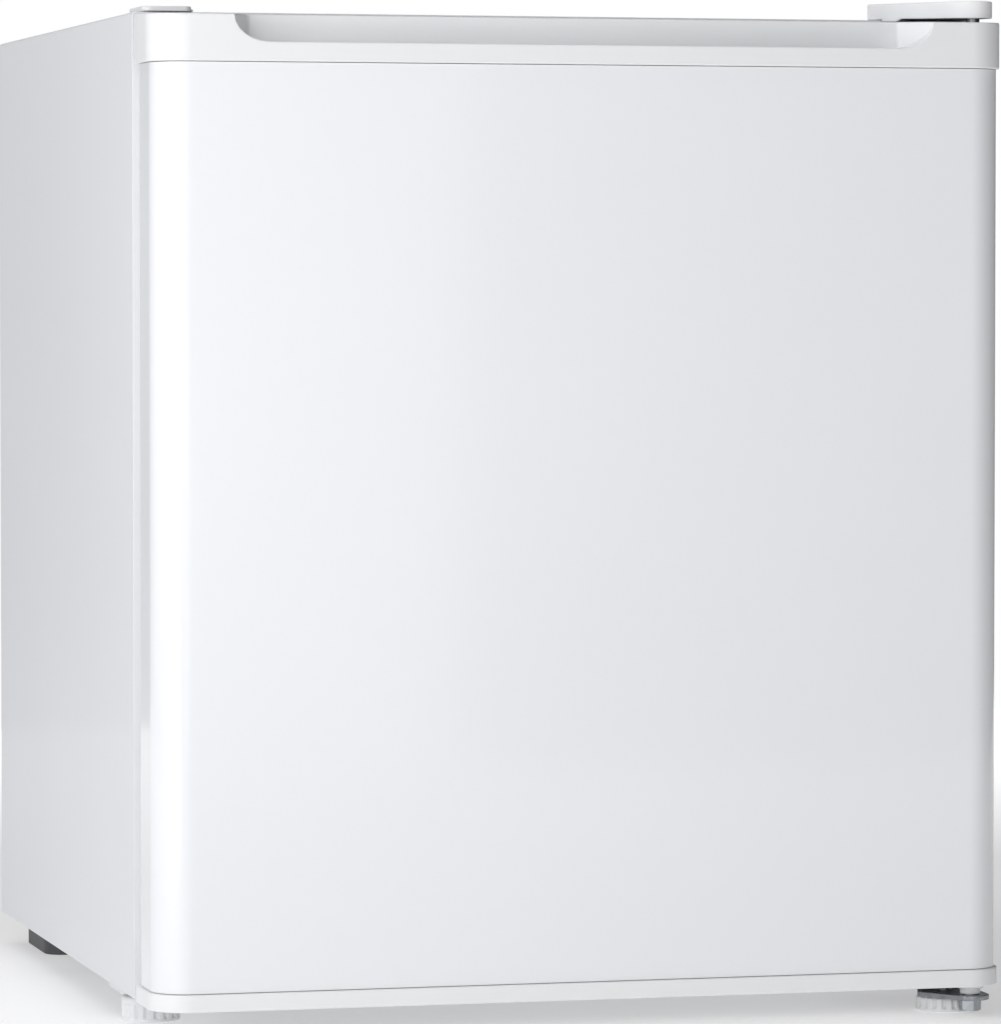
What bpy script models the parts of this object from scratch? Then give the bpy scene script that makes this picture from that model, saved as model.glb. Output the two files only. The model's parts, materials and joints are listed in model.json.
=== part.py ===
"""Compact refrigerator with one door, a freezer box, a compressor bay and a wire condenser.

Metres, +Z up. The origin is on the floor, under the middle of the whole object.
The door faces -Y and is hinged on the right, at +X.
"""

from math import atan2, cos, degrees, pi, radians, sin, tan

import bmesh
import bpy
from mathutils import Matrix, Vector

# Whole object
WIDTH = 0.440
DEPTH = 0.470
HALF = WIDTH / 2
FRONT = -DEPTH / 2
BACK = DEPTH / 2
GAP = 0.0003  # clearance between pieces that touch

# Cabinet
CABINET_FRONT = FRONT + 0.0523
CABINET_BACK = CABINET_FRONT + 0.399
CABINET_BOTTOM = 0.0185
CABINET_TOP = CABINET_BOTTOM + 0.4893
SHEET = 0.0008  # cabinet and door steel
PANEL_HALF = HALF - SHEET - GAP  # half width of what fits between the side panels
FRONT_FLANGE = 0.022  # steel return that the gasket closes on
REAR_FLANGE = 0.012

# Compressor bay
BAY_FRONT = 0.075
BAY_TOP = 0.166

# Lined cabin
LINER = 0.0012
CABIN_HALF = 0.1835
CABIN_BACK = 0.176
CABIN_FLOOR = 0.0535
CABIN_CEILING = 0.472
CABIN_RADIUS = 0.008
STEP_FRONT = 0.043  # the cabin floor steps up over the compressor bay
STEP_TOP = 0.197
RIB_FRONT = -0.072
RIB_WIDTH = 0.005
RIB_HEIGHT = 0.006
TRAY_RIB = 0.340
UPPER_SHELF_RIB = 0.270
LOWER_SHELF_RIB = 0.199

# Door
SKIN_FRONT = FRONT + 0.0015
SKIN_BACK = SKIN_FRONT + 0.042
SKIN_HALF = HALF - 0.0018
SKIN_RADIUS = 0.018
DOOR_BOTTOM = 0.0173
BOTTOM_JOINT = 0.0261  # skin meets the bottom cap
TOP_JOINT = 0.4818  # skin meets the top cap
DOOR_TOP = 0.5049
CAP_RISE = 0.0015  # the top cap is this much higher at its back
CAP_BACK = FRONT + 0.0475
CAP_RADIUS = SKIN_RADIUS + 0.0016
LINER_HALF = 0.215
DOOR_LINER_BACK = SKIN_BACK + GAP + 0.001
PLINTH_HALF = 0.176
PLINTH_BACK = -0.1585
PLINTH_LOW = 0.066
PLINTH_HIGH = 0.462
PLINTH_BAR = 0.016
PLINTH_WALL = 0.0015

# Foam tongues fill the pockets of the door's two caps, which are larger by the gap all round.
TOP_POCKET_X = (-0.187, 0.187)
TOP_POCKET_Y = (-0.2092, -0.1943)
TOP_POCKET_HIGH = 0.500
BOTTOM_POCKET_X = (-0.205, 0.198)
BOTTOM_POCKET_Y = (-0.230, -0.1943)
BOTTOM_POCKET_LOW = 0.0195

# Finger grip in the door's top cap
GRIP_HALF = 0.179
GRIP_FLOOR = 0.4915
GRIP_BACK = FRONT + 0.022
GRIP_END = 0.018  # width of the swept stretch at each end
GRIP_SLANT = 0.0105  # the grip is this much shorter at its back, at each end
WELL_HALF = 0.157
WELL_DEPTH = 0.004
WELL_FRONT = FRONT + 0.006

# Door racks: floor and rim heights, the reach into the cabin, and the height of their lugs
RACKS = {
    "upper": {"low": 0.300, "high": 0.352, "back": -0.1215, "lug": 0.340},
    "lower": {"low": 0.095, "high": 0.172, "back": -0.1050, "lug": 0.150},
}
RACK_HALF = 0.1585
RACK_WALL = 0.002
RACK_NOTCH_HALF = 0.130
RACK_NOTCH = 0.016
LUG_Y = -0.170
LUG_REACH = 0.004
LUG_HEIGHT = 0.010

# Hinges
HINGE_X = 0.2095
HINGE_Y = SKIN_FRONT + 0.026
HINGE_PLATE = 0.0025
PIN_RADIUS = 0.0035
BUSH_RADIUS = 0.005
WASHER_RADIUS = 0.0069
WASHER_COLLAR = 0.0052
WASHER_DISC = 0.0034
COVER_TOP = 0.5161
COVER_SKIRT = 0.5069  # lower edge of the hinge cover where it hangs over the door
COVER_SLOT = 0.0013  # the cover's edge is this much higher where the door's top passes below
COVER_CORNER = (0.1635, -0.1765)  # where the cover's slanted front starts
COVER_BACK_LEFT = (0.1790, -0.1330)
COVER_RIGHT = 0.2163
COVER_WALL = 0.0016
BRACKET_LOW = 0.0078
BRACKET_STEP = -0.1660  # the lower bracket steps up to the cabinet behind the right foot
BRACKET_BACK = -0.118
BRACKET_SCREWS = ((0.176, -0.150), (0.200, -0.130))

# Front feet: the right one stands under the hinge bracket, and the left one under the cabinet
FEET = {
    "left": {"x": -0.2000, "y": -0.1230, "knob_top": 0.0125, "stud_top": 0.0360},
    "right": {"x": 0.2030, "y": -0.1870, "knob_top": 0.0075, "stud_top": 0.0165},
}
KNOB_RADIUS = 0.015
KNOB_FLOOR = 0.003  # thickness under the stud
FLUTES = 18
STUD_RADIUS = 0.004
LEFT_SCREW = (-0.174, -0.123)

# Freezer box and its flap
FREEZER_LEFT = -0.170
FREEZER_RIGHT = 0.080
FREEZER_LOW = 0.370
FREEZER_HIGH = 0.460
FREEZER_FRONT = -0.0595
FREEZER_BACK = 0.160
FLAP_Y = -0.074
FLAP_Z = 0.4545

# Thermostat
DIAL_X = 0.139
DIAL_Z = 0.440
DIAL_RADIUS = 0.017
DIAL_FRONT = -0.0655
HOUSING_FRONT = -0.050

# Shelves and tray
SHELF_HALF = 0.182
SHELF_FRONT = -0.088
GLASS = 0.004

# Compressor and condenser
POT_X = 0.070
POT_Y = 0.1455
POT_RADIUS = 0.054
CONDENSER_Y = 0.2265
CONDENSER_TUBE = 0.0024
CONDENSER_HALF = 0.175
CONDENSER_LOW = 0.190
PASS_SPACING = 0.027
PASSES = 11
WIRE = 0.0016
WIRE_SPACING = 0.024
WIRES = 15
CLIP_ROWS = (1, 9)  # passes of the tube that the brackets clip


# ---------------------------------------------------------------- outlines


def arc(x, y, radius, start, end, steps=6):
    """Points on an arc, with its ends given in degrees."""
    angles = [radians(start + (end - start) * i / steps) for i in range(steps + 1)]
    return [(x + radius * cos(a), y + radius * sin(a)) for a in angles]


def rounded(x0, y0, x1, y1, radii, steps=5):
    """A rectangle whose corner radii start at (x0, y0) and go round anticlockwise."""
    centres = ((x0, y0, 1, 1, 180), (x1, y0, -1, 1, 270), (x1, y1, -1, -1, 0), (x0, y1, 1, -1, 90))
    outline = []
    for (x, y, right, up, start), r in zip(centres, radii):
        if r:
            outline += arc(x + right * r, y + up * r, r, start, start + 90, steps)
        else:
            outline.append((x, y))
    return outline


def rectangle(x0, y0, x1, y1):
    return rounded(x0, y0, x1, y1, (0, 0, 0, 0))


def soft_corners(points, radii, steps=5):
    """An anticlockwise outline whose corners are rounded at their own radii."""
    outline = []
    for i, (point, radius) in enumerate(zip(points, radii)):
        here = Vector(point)
        into = (here - Vector(points[i - 1])).normalized()
        out = (Vector(points[(i + 1) % len(points)]) - here).normalized()
        turn = into.angle(out)
        centre = here - into * radius * tan(turn / 2) + Vector((-into.y, into.x)) * radius
        start = degrees(atan2(-into.x, into.y))
        if radius:
            outline += arc(centre.x, centre.y, radius, start, start + degrees(turn), steps)
        else:
            outline.append(point)
    return outline


def shrunk(outline, inset):
    """An anticlockwise outline moved inwards by a distance all round."""
    moved = []
    for i, point in enumerate(outline):
        here = Vector(point)
        into = (here - Vector(outline[i - 1])).normalized()
        out = (Vector(outline[(i + 1) % len(outline)]) - here).normalized()
        inwards = Vector((-into.y - out.y, into.x + out.x)).normalized()
        moved.append(tuple(here + inwards * inset / inwards.dot(Vector((-into.y, into.x)))))
    return moved


def folded(points, thickness):
    """Outline of a sheet folded along a line of points; the thickness lies to the line's left."""
    offset = []
    for i, (x, y) in enumerate(points):
        before = Vector(points[max(i - 1, 0)])
        after = Vector(points[min(i + 1, len(points) - 1)])
        here = Vector((x, y))
        into = (here - before).normalized() if i else (after - here).normalized()
        out = (after - here).normalized() if i < len(points) - 1 else into
        normal = Vector((-into.y - out.y, into.x + out.x)).normalized()
        stretch = thickness / max(normal.dot(Vector((-into.y, into.x))), 0.2)
        offset.append(tuple(here + normal * stretch))
    return list(points) + offset[::-1]


# ------------------------------------------------------------------ solids

AXES = {
    "X": lambda u, v, w: (w, u, v),
    "Y": lambda u, v, w: (u, w, v),
    "Z": lambda u, v, w: (u, v, w),
}


def loft(sections, axis="Z"):
    """A closed solid through outlines of equal length, each with its place along the axis."""
    shape = bmesh.new()
    rings = []
    for outline, along in sections:
        rings.append([shape.verts.new(AXES[axis](u, v, along)) for u, v in outline])
    shape.faces.new(rings[0][::-1])
    shape.faces.new(rings[-1])
    for lower, upper in zip(rings, rings[1:]):
        for i in range(len(lower)):
            shape.faces.new((lower[i - 1], lower[i], upper[i], upper[i - 1]))
    bmesh.ops.recalc_face_normals(shape, faces=shape.faces)
    return shape


def prism(outline, low, high, axis="Z"):
    return loft([(outline, low), (outline, high)], axis)


def box(x0, x1, y0, y1, z0, z1):
    return prism(rectangle(x0, y0, x1, y1), z0, z1)


def rod(centre, radius, low, high, axis="Z", sides=16):
    """A cylinder whose centre is given in the two directions across its axis."""
    circle = [
        (centre[0] + radius * cos(2 * pi * i / sides), centre[1] + radius * sin(2 * pi * i / sides))
        for i in range(sides)
    ]
    return prism(circle, low, high, axis)


def turned(profile, centre, axis="Z", steps=24):
    """A solid of revolution from (radius, height) points. A profile off the axis is a ring."""
    shape = bmesh.new()
    rings = []
    for radius, height in profile:
        if radius == 0:
            rings.append([shape.verts.new(AXES[axis](centre[0], centre[1], height))] * steps)
            continue
        ring = []
        for i in range(steps):
            u = centre[0] + radius * cos(2 * pi * i / steps)
            v = centre[1] + radius * sin(2 * pi * i / steps)
            ring.append(shape.verts.new(AXES[axis](u, v, height)))
        rings.append(ring)
    pairs = list(zip(rings, rings[1:]))
    if profile[0][0] > 0:
        pairs.append((rings[-1], rings[0]))
    for lower, upper in pairs:
        for i in range(steps):
            corners = (lower[i - 1], lower[i], upper[i], upper[i - 1])
            shape.faces.new(list(dict.fromkeys(corners)))
    bmesh.ops.recalc_face_normals(shape, faces=shape.faces)
    return shape


# --------------------------------------------------------------- materials


def finish(name, colour, roughness, metallic=0.0, alpha=1.0):
    """A Principled BSDF material."""
    material = bpy.data.materials.new(name)
    material.use_nodes = True
    shader = material.node_tree.nodes["Principled BSDF"]
    shader.inputs["Base Color"].default_value = (*colour, 1)
    shader.inputs["Roughness"].default_value = roughness
    shader.inputs["Metallic"].default_value = metallic
    shader.inputs["Alpha"].default_value = alpha
    material.diffuse_color = (*colour, alpha)
    return material


def finishes():
    return {
        "side_paint": finish("side_paint", (0.78, 0.79, 0.80), 0.40),
        "door_paint": finish("door_paint", (0.87, 0.88, 0.90), 0.25),
        "white_plastic": finish("white_plastic", (0.86, 0.87, 0.88), 0.35),
        "liner_plastic": finish("liner_plastic", (0.90, 0.91, 0.92), 0.30),
        "gasket": finish("gasket", (0.84, 0.85, 0.86), 0.55),
        "foam": finish("foam", (0.85, 0.78, 0.55), 0.90),
        "steel": finish("steel", (0.55, 0.56, 0.58), 0.30, 1.0),
        "galvanised": finish("galvanised", (0.50, 0.52, 0.54), 0.45, 1.0),
        "aluminium": finish("aluminium", (0.75, 0.76, 0.78), 0.35, 1.0),
        "copper": finish("copper", (0.72, 0.40, 0.26), 0.35, 1.0),
        "black_paint": finish("black_paint", (0.02, 0.02, 0.02), 0.45),
        "dark_plastic": finish("dark_plastic", (0.06, 0.06, 0.065), 0.60),
        "rubber": finish("rubber", (0.03, 0.03, 0.03), 0.80),
        "clear_plastic": finish("clear_plastic", (0.75, 0.84, 0.90), 0.20, 0.0, 0.6),
        "glass": finish("glass", (0.80, 0.90, 0.88), 0.05, 0.0, 0.35),
    }


# ----------------------------------------------------------------- objects


def place(name, shape):
    """Turns a shape into an object of the scene."""
    mesh = bpy.data.meshes.new(name)
    shape.to_mesh(mesh)
    shape.free()
    obj = bpy.data.objects.new(name, mesh)
    bpy.context.scene.collection.objects.link(obj)
    return obj


def make(name, shape, material):
    """A piece of the refrigerator."""
    obj = place(name, shape)
    obj.data.materials.append(material)
    obj.data.shade_smooth()
    obj.data.set_sharp_from_angle(angle=radians(30))
    return obj


def tool(shape):
    """A helper that other solids are cut with or joined to."""
    obj = place("tool", shape)
    obj.hide_render = True
    obj.display_type = "WIRE"
    return obj


def combine(obj, other, operation):
    if not isinstance(other, bpy.types.Object):
        other = tool(other)
    modifier = obj.modifiers.new(operation.lower(), "BOOLEAN")
    modifier.operation = operation
    modifier.solver = "EXACT"
    modifier.object = other


def cut(obj, *others):
    for other in others:
        combine(obj, other, "DIFFERENCE")


def join(obj, *others):
    for other in others:
        combine(obj, other, "UNION")


def keep(obj, other):
    combine(obj, other, "INTERSECT")


def tube(name, points, radius, material, resolution=2):
    """A round pipe through the points."""
    data = bpy.data.curves.new(name, "CURVE")
    data.dimensions = "3D"
    data.bevel_depth = radius
    data.bevel_resolution = resolution
    data.use_fill_caps = True
    spline = data.splines.new("POLY")
    spline.points.add(len(points) - 1)
    for point, place_at in zip(spline.points, points):
        point.co = (*place_at, 1)
    data.materials.append(material)
    obj = bpy.data.objects.new(name, data)
    bpy.context.scene.collection.objects.link(obj)
    return obj


def bent(corners, radius, steps=4):
    """A line of corners with each inner corner turned at a radius."""
    corners = [Vector(c) for c in corners]
    path = [corners[0]]
    for before, here, after in zip(corners, corners[1:], corners[2:]):
        into = (here - before).normalized()
        out = (after - here).normalized()
        angle = into.angle(out)
        start = here - into * radius * tan(angle / 2)
        inward = (out - into).normalized()
        centre = here + inward * radius / cos(angle / 2)
        arm = start - centre
        axis = into.cross(out)
        for i in range(steps + 1):
            path.append(centre + Matrix.Rotation(angle * i / steps, 3, axis) @ arm)
    return path + [corners[-1]]


def hang(name, point, children, parent=None):
    """An empty on a joint's axis, which carries the pieces that move with it."""
    empty = bpy.data.objects.new(name, None)
    empty.empty_display_size = 0.03
    bpy.context.scene.collection.objects.link(empty)
    empty.location = point
    if parent:
        empty.parent = parent
        empty.matrix_parent_inverse = Matrix.Translation(parent.location).inverted()
    for child in children:
        child.parent = empty
        child.matrix_parent_inverse = Matrix.Translation(point).inverted()
    return empty


# ----------------------------------------------------------------- cabinet


def cabin_profile(grow):
    """Side view of the lined cabin, open at the front, grown outwards by a margin."""
    front = CABINET_FRONT - 0.02
    return [
        (front, CABIN_FLOOR - grow),
        (STEP_FRONT + grow, CABIN_FLOOR - grow),
        (STEP_FRONT + grow, STEP_TOP - grow),
        (CABIN_BACK + grow, STEP_TOP - grow),
        (CABIN_BACK + grow, CABIN_CEILING + grow),
        (front, CABIN_CEILING + grow),
    ]


def make_outer_shell(paint):
    """Side panels and top in one folded sheet, with returns at the front and the back."""
    outline = rounded(-HALF, CABINET_BOTTOM, HALF, CABINET_TOP, (0, 0, 0.002, 0.002), 3)
    shell = make("outer_shell", prism(outline, CABINET_FRONT, CABINET_BACK, "Y"), paint)
    below = CABINET_BOTTOM - 0.01
    inner = HALF - SHEET
    mouth = HALF - FRONT_FLANGE
    rear = HALF - REAR_FLANGE
    cut(
        shell,
        box(-inner, inner, CABINET_FRONT + SHEET, CABINET_BACK - SHEET, below, CABINET_TOP - SHEET),
        box(-mouth, mouth, CABINET_FRONT - 0.01, 0, below, CABINET_TOP - FRONT_FLANGE),
        box(-rear, rear, 0, CABINET_BACK + 0.01, below, CABINET_TOP - REAR_FLANGE),
    )
    return shell


def make_bottom_plate(steel):
    """One sheet: the front rail, the underside, and the wall and roof of the compressor bay."""
    low = CABINET_BOTTOM + GAP
    line = [
        (CABINET_FRONT, low + 0.022),
        (CABINET_FRONT, low),
        (BAY_FRONT, low),
        (BAY_FRONT, BAY_TOP),
        (CABINET_BACK - 0.0022, BAY_TOP),
    ]
    plate = make(
        "bottom_plate", prism(folded(line, SHEET), -PANEL_HALF, PANEL_HALF, "X"), steel
    )
    inner = HALF - FRONT_FLANGE - GAP
    back = CABINET_FRONT + SHEET + GAP
    for side in (-1, 1):
        edges = sorted((side * inner, side * HALF))
        cut(plate, box(*edges, CABINET_FRONT - 0.01, back, 0, 0.1))
    return plate


def make_back_panel(steel):
    """The flat back, held in front of the shell's rear returns."""
    front = CABINET_BACK - 2 * SHEET - GAP
    back = front + SHEET
    low = BAY_TOP + SHEET + GAP
    high = CABINET_TOP - SHEET - GAP
    make("back_panel", box(-PANEL_HALF, PANEL_HALF, front, back, low, high), steel)


def make_foam(material):
    """Foamed insulation between the steel and the liner."""
    low = CABINET_BOTTOM + 2 * GAP + SHEET
    high = CABINET_TOP - SHEET - GAP
    front = CABINET_FRONT + 0.0027
    back = CABINET_BACK - 2 * SHEET - 2 * GAP
    outline = [
        (front, low),
        (BAY_FRONT - SHEET - GAP, low),
        (BAY_FRONT - SHEET - GAP, BAY_TOP + SHEET + GAP),
        (back, BAY_TOP + SHEET + GAP),
        (back, high),
        (front, high),
    ]
    foam = make("cabinet_foam", prism(outline, -PANEL_HALF, PANEL_HALF, "X"), material)
    hollow = CABIN_HALF + LINER + GAP
    cut(foam, prism(cabin_profile(LINER + GAP), -hollow, hollow, "X"))
    return foam


def rounded_cabin():
    """The cabin's hollow with rounded edges, apart from the one along the floor's step."""
    shape = prism(cabin_profile(0), -CABIN_HALF, CABIN_HALF, "X")
    weights = shape.edges.layers.float.new("bevel_weight_edge")
    for edge in shape.edges:
        middle = (edge.verts[0].co + edge.verts[1].co) / 2
        on_step = (middle.yz - Vector((STEP_FRONT, STEP_TOP))).length < GAP
        edge[weights] = 0.0 if on_step else 1.0
    hollow = tool(shape)
    corners = hollow.modifiers.new("corners", "BEVEL")
    corners.limit_method = "WEIGHT"
    corners.width = CABIN_RADIUS
    corners.segments = 3
    return hollow


def make_liner(plastic):
    """Moulded liner: a thin box with rounded corners, a front rim and pairs of ribs."""
    outer = CABIN_HALF + LINER
    liner = make("inner_liner", prism(cabin_profile(LINER), -outer, outer, "X"), plastic)
    rim_front = CABINET_FRONT + SHEET + GAP
    cut(liner, box(-HALF, HALF, CABINET_FRONT - 0.03, rim_front, 0, CABINET_TOP))
    rim_half = outer + 0.015
    rim = box(
        -rim_half, rim_half, rim_front, rim_front + LINER, CABIN_FLOOR - 0.015, CABIN_CEILING + 0.015
    )
    join(liner, rim)
    cut(liner, rounded_cabin())
    ribs = ((TRAY_RIB, 0.165), (UPPER_SHELF_RIB, 0.165), (LOWER_SHELF_RIB, STEP_FRONT - 0.001))
    for top, back in ribs:
        for side in (-1, 1):
            edges = sorted((side * (CABIN_HALF - RIB_WIDTH), side * (CABIN_HALF + LINER / 2)))
            join(liner, box(*edges, RIB_FRONT, back, top - RIB_HEIGHT, top))
    return liner


def make_cabinet(colours):
    shell = make_outer_shell(colours["side_paint"])
    plate = make_bottom_plate(colours["galvanised"])
    make_back_panel(colours["galvanised"])
    foam = make_foam(colours["foam"])
    make_liner(colours["liner_plastic"])
    return shell, plate, foam


# -------------------------------------------------------------------- door


def door_outline(half, front, back, radius):
    """Plan of the door, with its two front corners rounded."""
    return rounded(-half, front, half, back, (radius, radius, 0, 0), 7)


def make_door_skin(paint):
    """Folded steel front with rounded upright corners and narrow returns at the back."""
    low = BOTTOM_JOINT + GAP
    high = TOP_JOINT - GAP
    outer = door_outline(SKIN_HALF, SKIN_FRONT, SKIN_BACK, SKIN_RADIUS)
    skin = make("door_skin", prism(outer, low, high), paint)
    inner = SKIN_HALF - SHEET
    hollow = door_outline(inner, SKIN_FRONT + SHEET, SKIN_BACK - SHEET, SKIN_RADIUS - SHEET)
    cut(skin, prism(hollow, low - 0.01, high + 0.01))
    mouth = SKIN_HALF - 0.012
    cut(skin, box(-mouth, mouth, SKIN_BACK - 0.005, SKIN_BACK + 0.01, low - 0.01, high + 0.01))
    return skin


def plinth_ring(margin, front, back):
    """The raised frame on the door's inside, with its bars thinner by a margin on each side."""
    half = PLINTH_HALF - margin
    outline = rounded(
        -half, PLINTH_LOW + margin, half, PLINTH_HIGH - margin, (0.012 - margin,) * 4, 3
    )
    ring = tool(prism(outline, front, back, "Y"))
    hole_half = PLINTH_HALF - PLINTH_BAR + margin
    low = PLINTH_LOW + PLINTH_BAR - margin
    high = PLINTH_HIGH - PLINTH_BAR + margin
    cut(ring, prism(rectangle(-hole_half, low, hole_half, high), front - 0.01, back + 0.01, "Y"))
    return ring


def make_door_foam(material):
    low = BOTTOM_JOINT + GAP
    high = TOP_JOINT - GAP
    half = SKIN_HALF - SHEET - GAP
    front = SKIN_FRONT + SHEET + GAP
    back = SKIN_BACK - SHEET - GAP
    outline = door_outline(half, front, back, SKIN_RADIUS - SHEET - GAP)
    foam = make("door_foam", prism(outline, low, high), material)
    join(
        foam,
        box(*TOP_POCKET_X, *TOP_POCKET_Y, high - 0.005, TOP_POCKET_HIGH - GAP),
        box(*BOTTOM_POCKET_X, *BOTTOM_POCKET_Y, BOTTOM_POCKET_LOW + GAP, low + 0.005),
        plinth_ring(PLINTH_WALL + GAP, back - 0.005, PLINTH_BACK - PLINTH_WALL - GAP),
    )
    return foam


def pocket(x_range, y_range, low, high):
    return box(
        x_range[0] - GAP, x_range[1] + GAP, y_range[0] - GAP, y_range[1] + GAP, low, high
    )


def make_door_liner(plastic):
    """Moulded inside of the door: a flat sheet, a raised frame and lugs for the racks."""
    front = SKIN_BACK + GAP
    sheet = prism(
        rectangle(-LINER_HALF, DOOR_BOTTOM + 0.0037, LINER_HALF, DOOR_TOP - 0.0027),
        front,
        DOOR_LINER_BACK,
        "Y",
    )
    liner = make("door_liner", sheet, plastic)
    join(liner, plinth_ring(0, front + 0.0005, PLINTH_BACK))
    cut(liner, plinth_ring(PLINTH_WALL, front - 0.01, PLINTH_BACK - PLINTH_WALL))
    inside = PLINTH_HALF - PLINTH_BAR
    for rack in RACKS.values():
        for side in (-1, 1):
            edges = sorted((side * (inside + 0.0008), side * (inside - LUG_REACH)))
            lug = box(*edges, LUG_Y - 0.003, LUG_Y + 0.003, rack["lug"] - LUG_HEIGHT, rack["lug"])
            join(liner, lug)
    return liner


def make_gasket(material):
    """Magnetic gasket: a wide base on the liner and a narrower bulb towards the cabinet."""
    base_front = DOOR_LINER_BACK + GAP
    base_back = base_front + 0.0024
    bulb_back = CABINET_FRONT - GAP
    low = DOOR_BOTTOM + 0.0042
    high = DOOR_TOP - 0.0032
    gasket = make(
        "door_gasket",
        prism(rectangle(-LINER_HALF, low, LINER_HALF, high), base_front, base_back, "Y"),
        material,
    )
    inset = 0.0025
    join(
        gasket,
        prism(
            rectangle(-LINER_HALF + inset, low + inset, LINER_HALF - inset, high - inset),
            base_back - 0.0006,
            bulb_back,
            "Y",
        ),
    )
    inner = LINER_HALF - 0.0165
    hole = rectangle(-inner, low + 0.0165, inner, high - 0.0165)
    cut(gasket, prism(hole, base_front - 0.01, bulb_back + 0.01, "Y"))
    return gasket


def make_top_cap(plastic):
    """Top edge of the door, with a long scooped finger grip along the front."""
    outline = door_outline(HALF, FRONT, CAP_BACK, CAP_RADIUS)
    shape = prism(outline, TOP_JOINT, DOOR_TOP)
    for vertex in shape.verts:
        if vertex.co.z > TOP_JOINT + 0.001:
            vertex.co.z += CAP_RISE * (vertex.co.y - FRONT) / (CAP_BACK - FRONT)
    cap = make("door_top_cap", shape, plastic)
    cut(cap, make_scoop())
    # A deeper finger well lies behind the grip's front edge.
    well = rounded(-WELL_HALF, WELL_FRONT, WELL_HALF, GRIP_BACK, (0, 0, 0.010, 0.010), 4)
    cut(cap, prism(well, GRIP_FLOOR - WELL_DEPTH, GRIP_FLOOR + 0.002))
    cut(cap, pocket(TOP_POCKET_X, TOP_POCKET_Y, TOP_JOINT - 0.01, TOP_POCKET_HIGH))
    rebate = LINER_HALF + 0.0005
    cut(cap, box(-rebate, rebate, SKIN_BACK, CAP_BACK + 0.01, TOP_JOINT - 0.01, DOOR_TOP - 0.0022))
    cut(cap, rod((HINGE_X, HINGE_Y), BUSH_RADIUS + GAP, 0.488, DOOR_TOP + 0.01))
    return cap


def make_scoop():
    """The grip's hollow: its front view has swept ends, its plan has slanted ones."""
    top = DOOR_TOP + 0.01
    rise = DOOR_TOP - GRIP_FLOOR

    def swept(side):
        """From the cap's top edge down to the grip's floor, along a quarter ellipse."""
        angles = [radians(90 * i / 6) for i in range(7)]
        return [
            (side * (GRIP_HALF - GRIP_END * (1 - cos(a))), DOOR_TOP - rise * sin(a))
            for a in angles
        ]

    outline = [(-GRIP_HALF, top)] + swept(-1) + swept(1)[::-1] + [(GRIP_HALF, top)]
    scoop = tool(prism(outline, FRONT - 0.01, GRIP_BACK + 0.01, "Y"))
    slope = GRIP_SLANT / (GRIP_BACK - FRONT)
    back = GRIP_HALF - GRIP_SLANT
    front = back + slope * (GRIP_BACK - FRONT + 0.02)
    ends = soft_corners(
        [(-front, FRONT - 0.02), (front, FRONT - 0.02), (back, GRIP_BACK), (-back, GRIP_BACK)],
        (0, 0, 0.003, 0.003),
    )
    keep(scoop, prism(ends, 0.4, 0.6))
    return scoop


def make_bottom_cap(plastic):
    outline = door_outline(HALF, FRONT, CAP_BACK, CAP_RADIUS)
    cap = make("door_bottom_cap", prism(outline, DOOR_BOTTOM, BOTTOM_JOINT), plastic)
    cut(cap, pocket(BOTTOM_POCKET_X, BOTTOM_POCKET_Y, BOTTOM_POCKET_LOW, BOTTOM_JOINT + 0.01))
    rebate = LINER_HALF + 0.0005
    low = DOOR_BOTTOM + 0.003
    cut(cap, box(-rebate, rebate, SKIN_BACK, CAP_BACK + 0.01, low, BOTTOM_JOINT + 0.01))
    cut(cap, rod((HINGE_X, HINGE_Y), BUSH_RADIUS + GAP, 0, 0.1))
    return cap


def bush(name, low, high, material):
    bore = PIN_RADIUS + GAP
    profile = [(bore, low), (BUSH_RADIUS, low), (BUSH_RADIUS, high), (bore, high)]
    return make(name, turned(profile, (HINGE_X, HINGE_Y), steps=16), material)


def make_rack(name, rack, plastic):
    """An open bin that drops over two lugs of the door liner."""
    front = DOOR_LINER_BACK + GAP
    back = rack["back"]
    radii = (0.001, 0.001, 0.010, 0.010)
    outline = rounded(-RACK_HALF, front, RACK_HALF, back, radii, 3)
    bin_ = make("door_rack_" + name, prism(outline, rack["low"], rack["high"]), plastic)
    inner = rounded(
        -RACK_HALF + RACK_WALL, front + RACK_WALL, RACK_HALF - RACK_WALL, back - RACK_WALL,
        (0.001, 0.001, 0.008, 0.008), 3,
    )
    cut(bin_, prism(inner, rack["low"] + RACK_WALL, rack["high"] + 0.01))
    # The wall towards the cabin is lower in its middle.
    low = rack["high"] - RACK_NOTCH
    high = rack["high"] + 0.02
    notch = rounded(-RACK_NOTCH_HALF, low, RACK_NOTCH_HALF, high, (0.008, 0.008, 0, 0), 3)
    cut(bin_, prism(notch, back - RACK_WALL - 0.004, back + 0.01, "Y"))
    for side in (-1, 1):
        edges = sorted((side * (RACK_HALF - RACK_WALL - 0.0015), side * (RACK_HALF + 0.01)))
        slot = box(*edges, LUG_Y - 0.0036, LUG_Y + 0.0036, rack["low"] - 0.01, rack["lug"] + GAP)
        cut(bin_, slot)
    return bin_


def make_door(colours):
    white = colours["white_plastic"]
    fixed = [
        make_door_skin(colours["door_paint"]),
        make_door_foam(colours["foam"]),
        make_door_liner(colours["liner_plastic"]),
        make_gasket(colours["gasket"]),
        make_top_cap(white),
        make_bottom_cap(white),
        bush("upper_hinge_bush", 0.4883, DOOR_TOP + GAP, white),
        bush("lower_hinge_bush", DOOR_BOTTOM + GAP, BOTTOM_JOINT - GAP, white),
    ]
    door = hang("door_axis", (HINGE_X, HINGE_Y, 0), fixed)
    for name, rack in RACKS.items():
        bin_ = make_rack(name, rack, colours["clear_plastic"])
        hang(name + "_rack_lift", (0, LUG_Y, rack["lug"]), [bin_], door)


# ------------------------------------------------------------------ hinges


def drill(obj, centre, radius, low, high):
    cut(obj, rod(centre, radius, low, high, sides=12))


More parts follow.
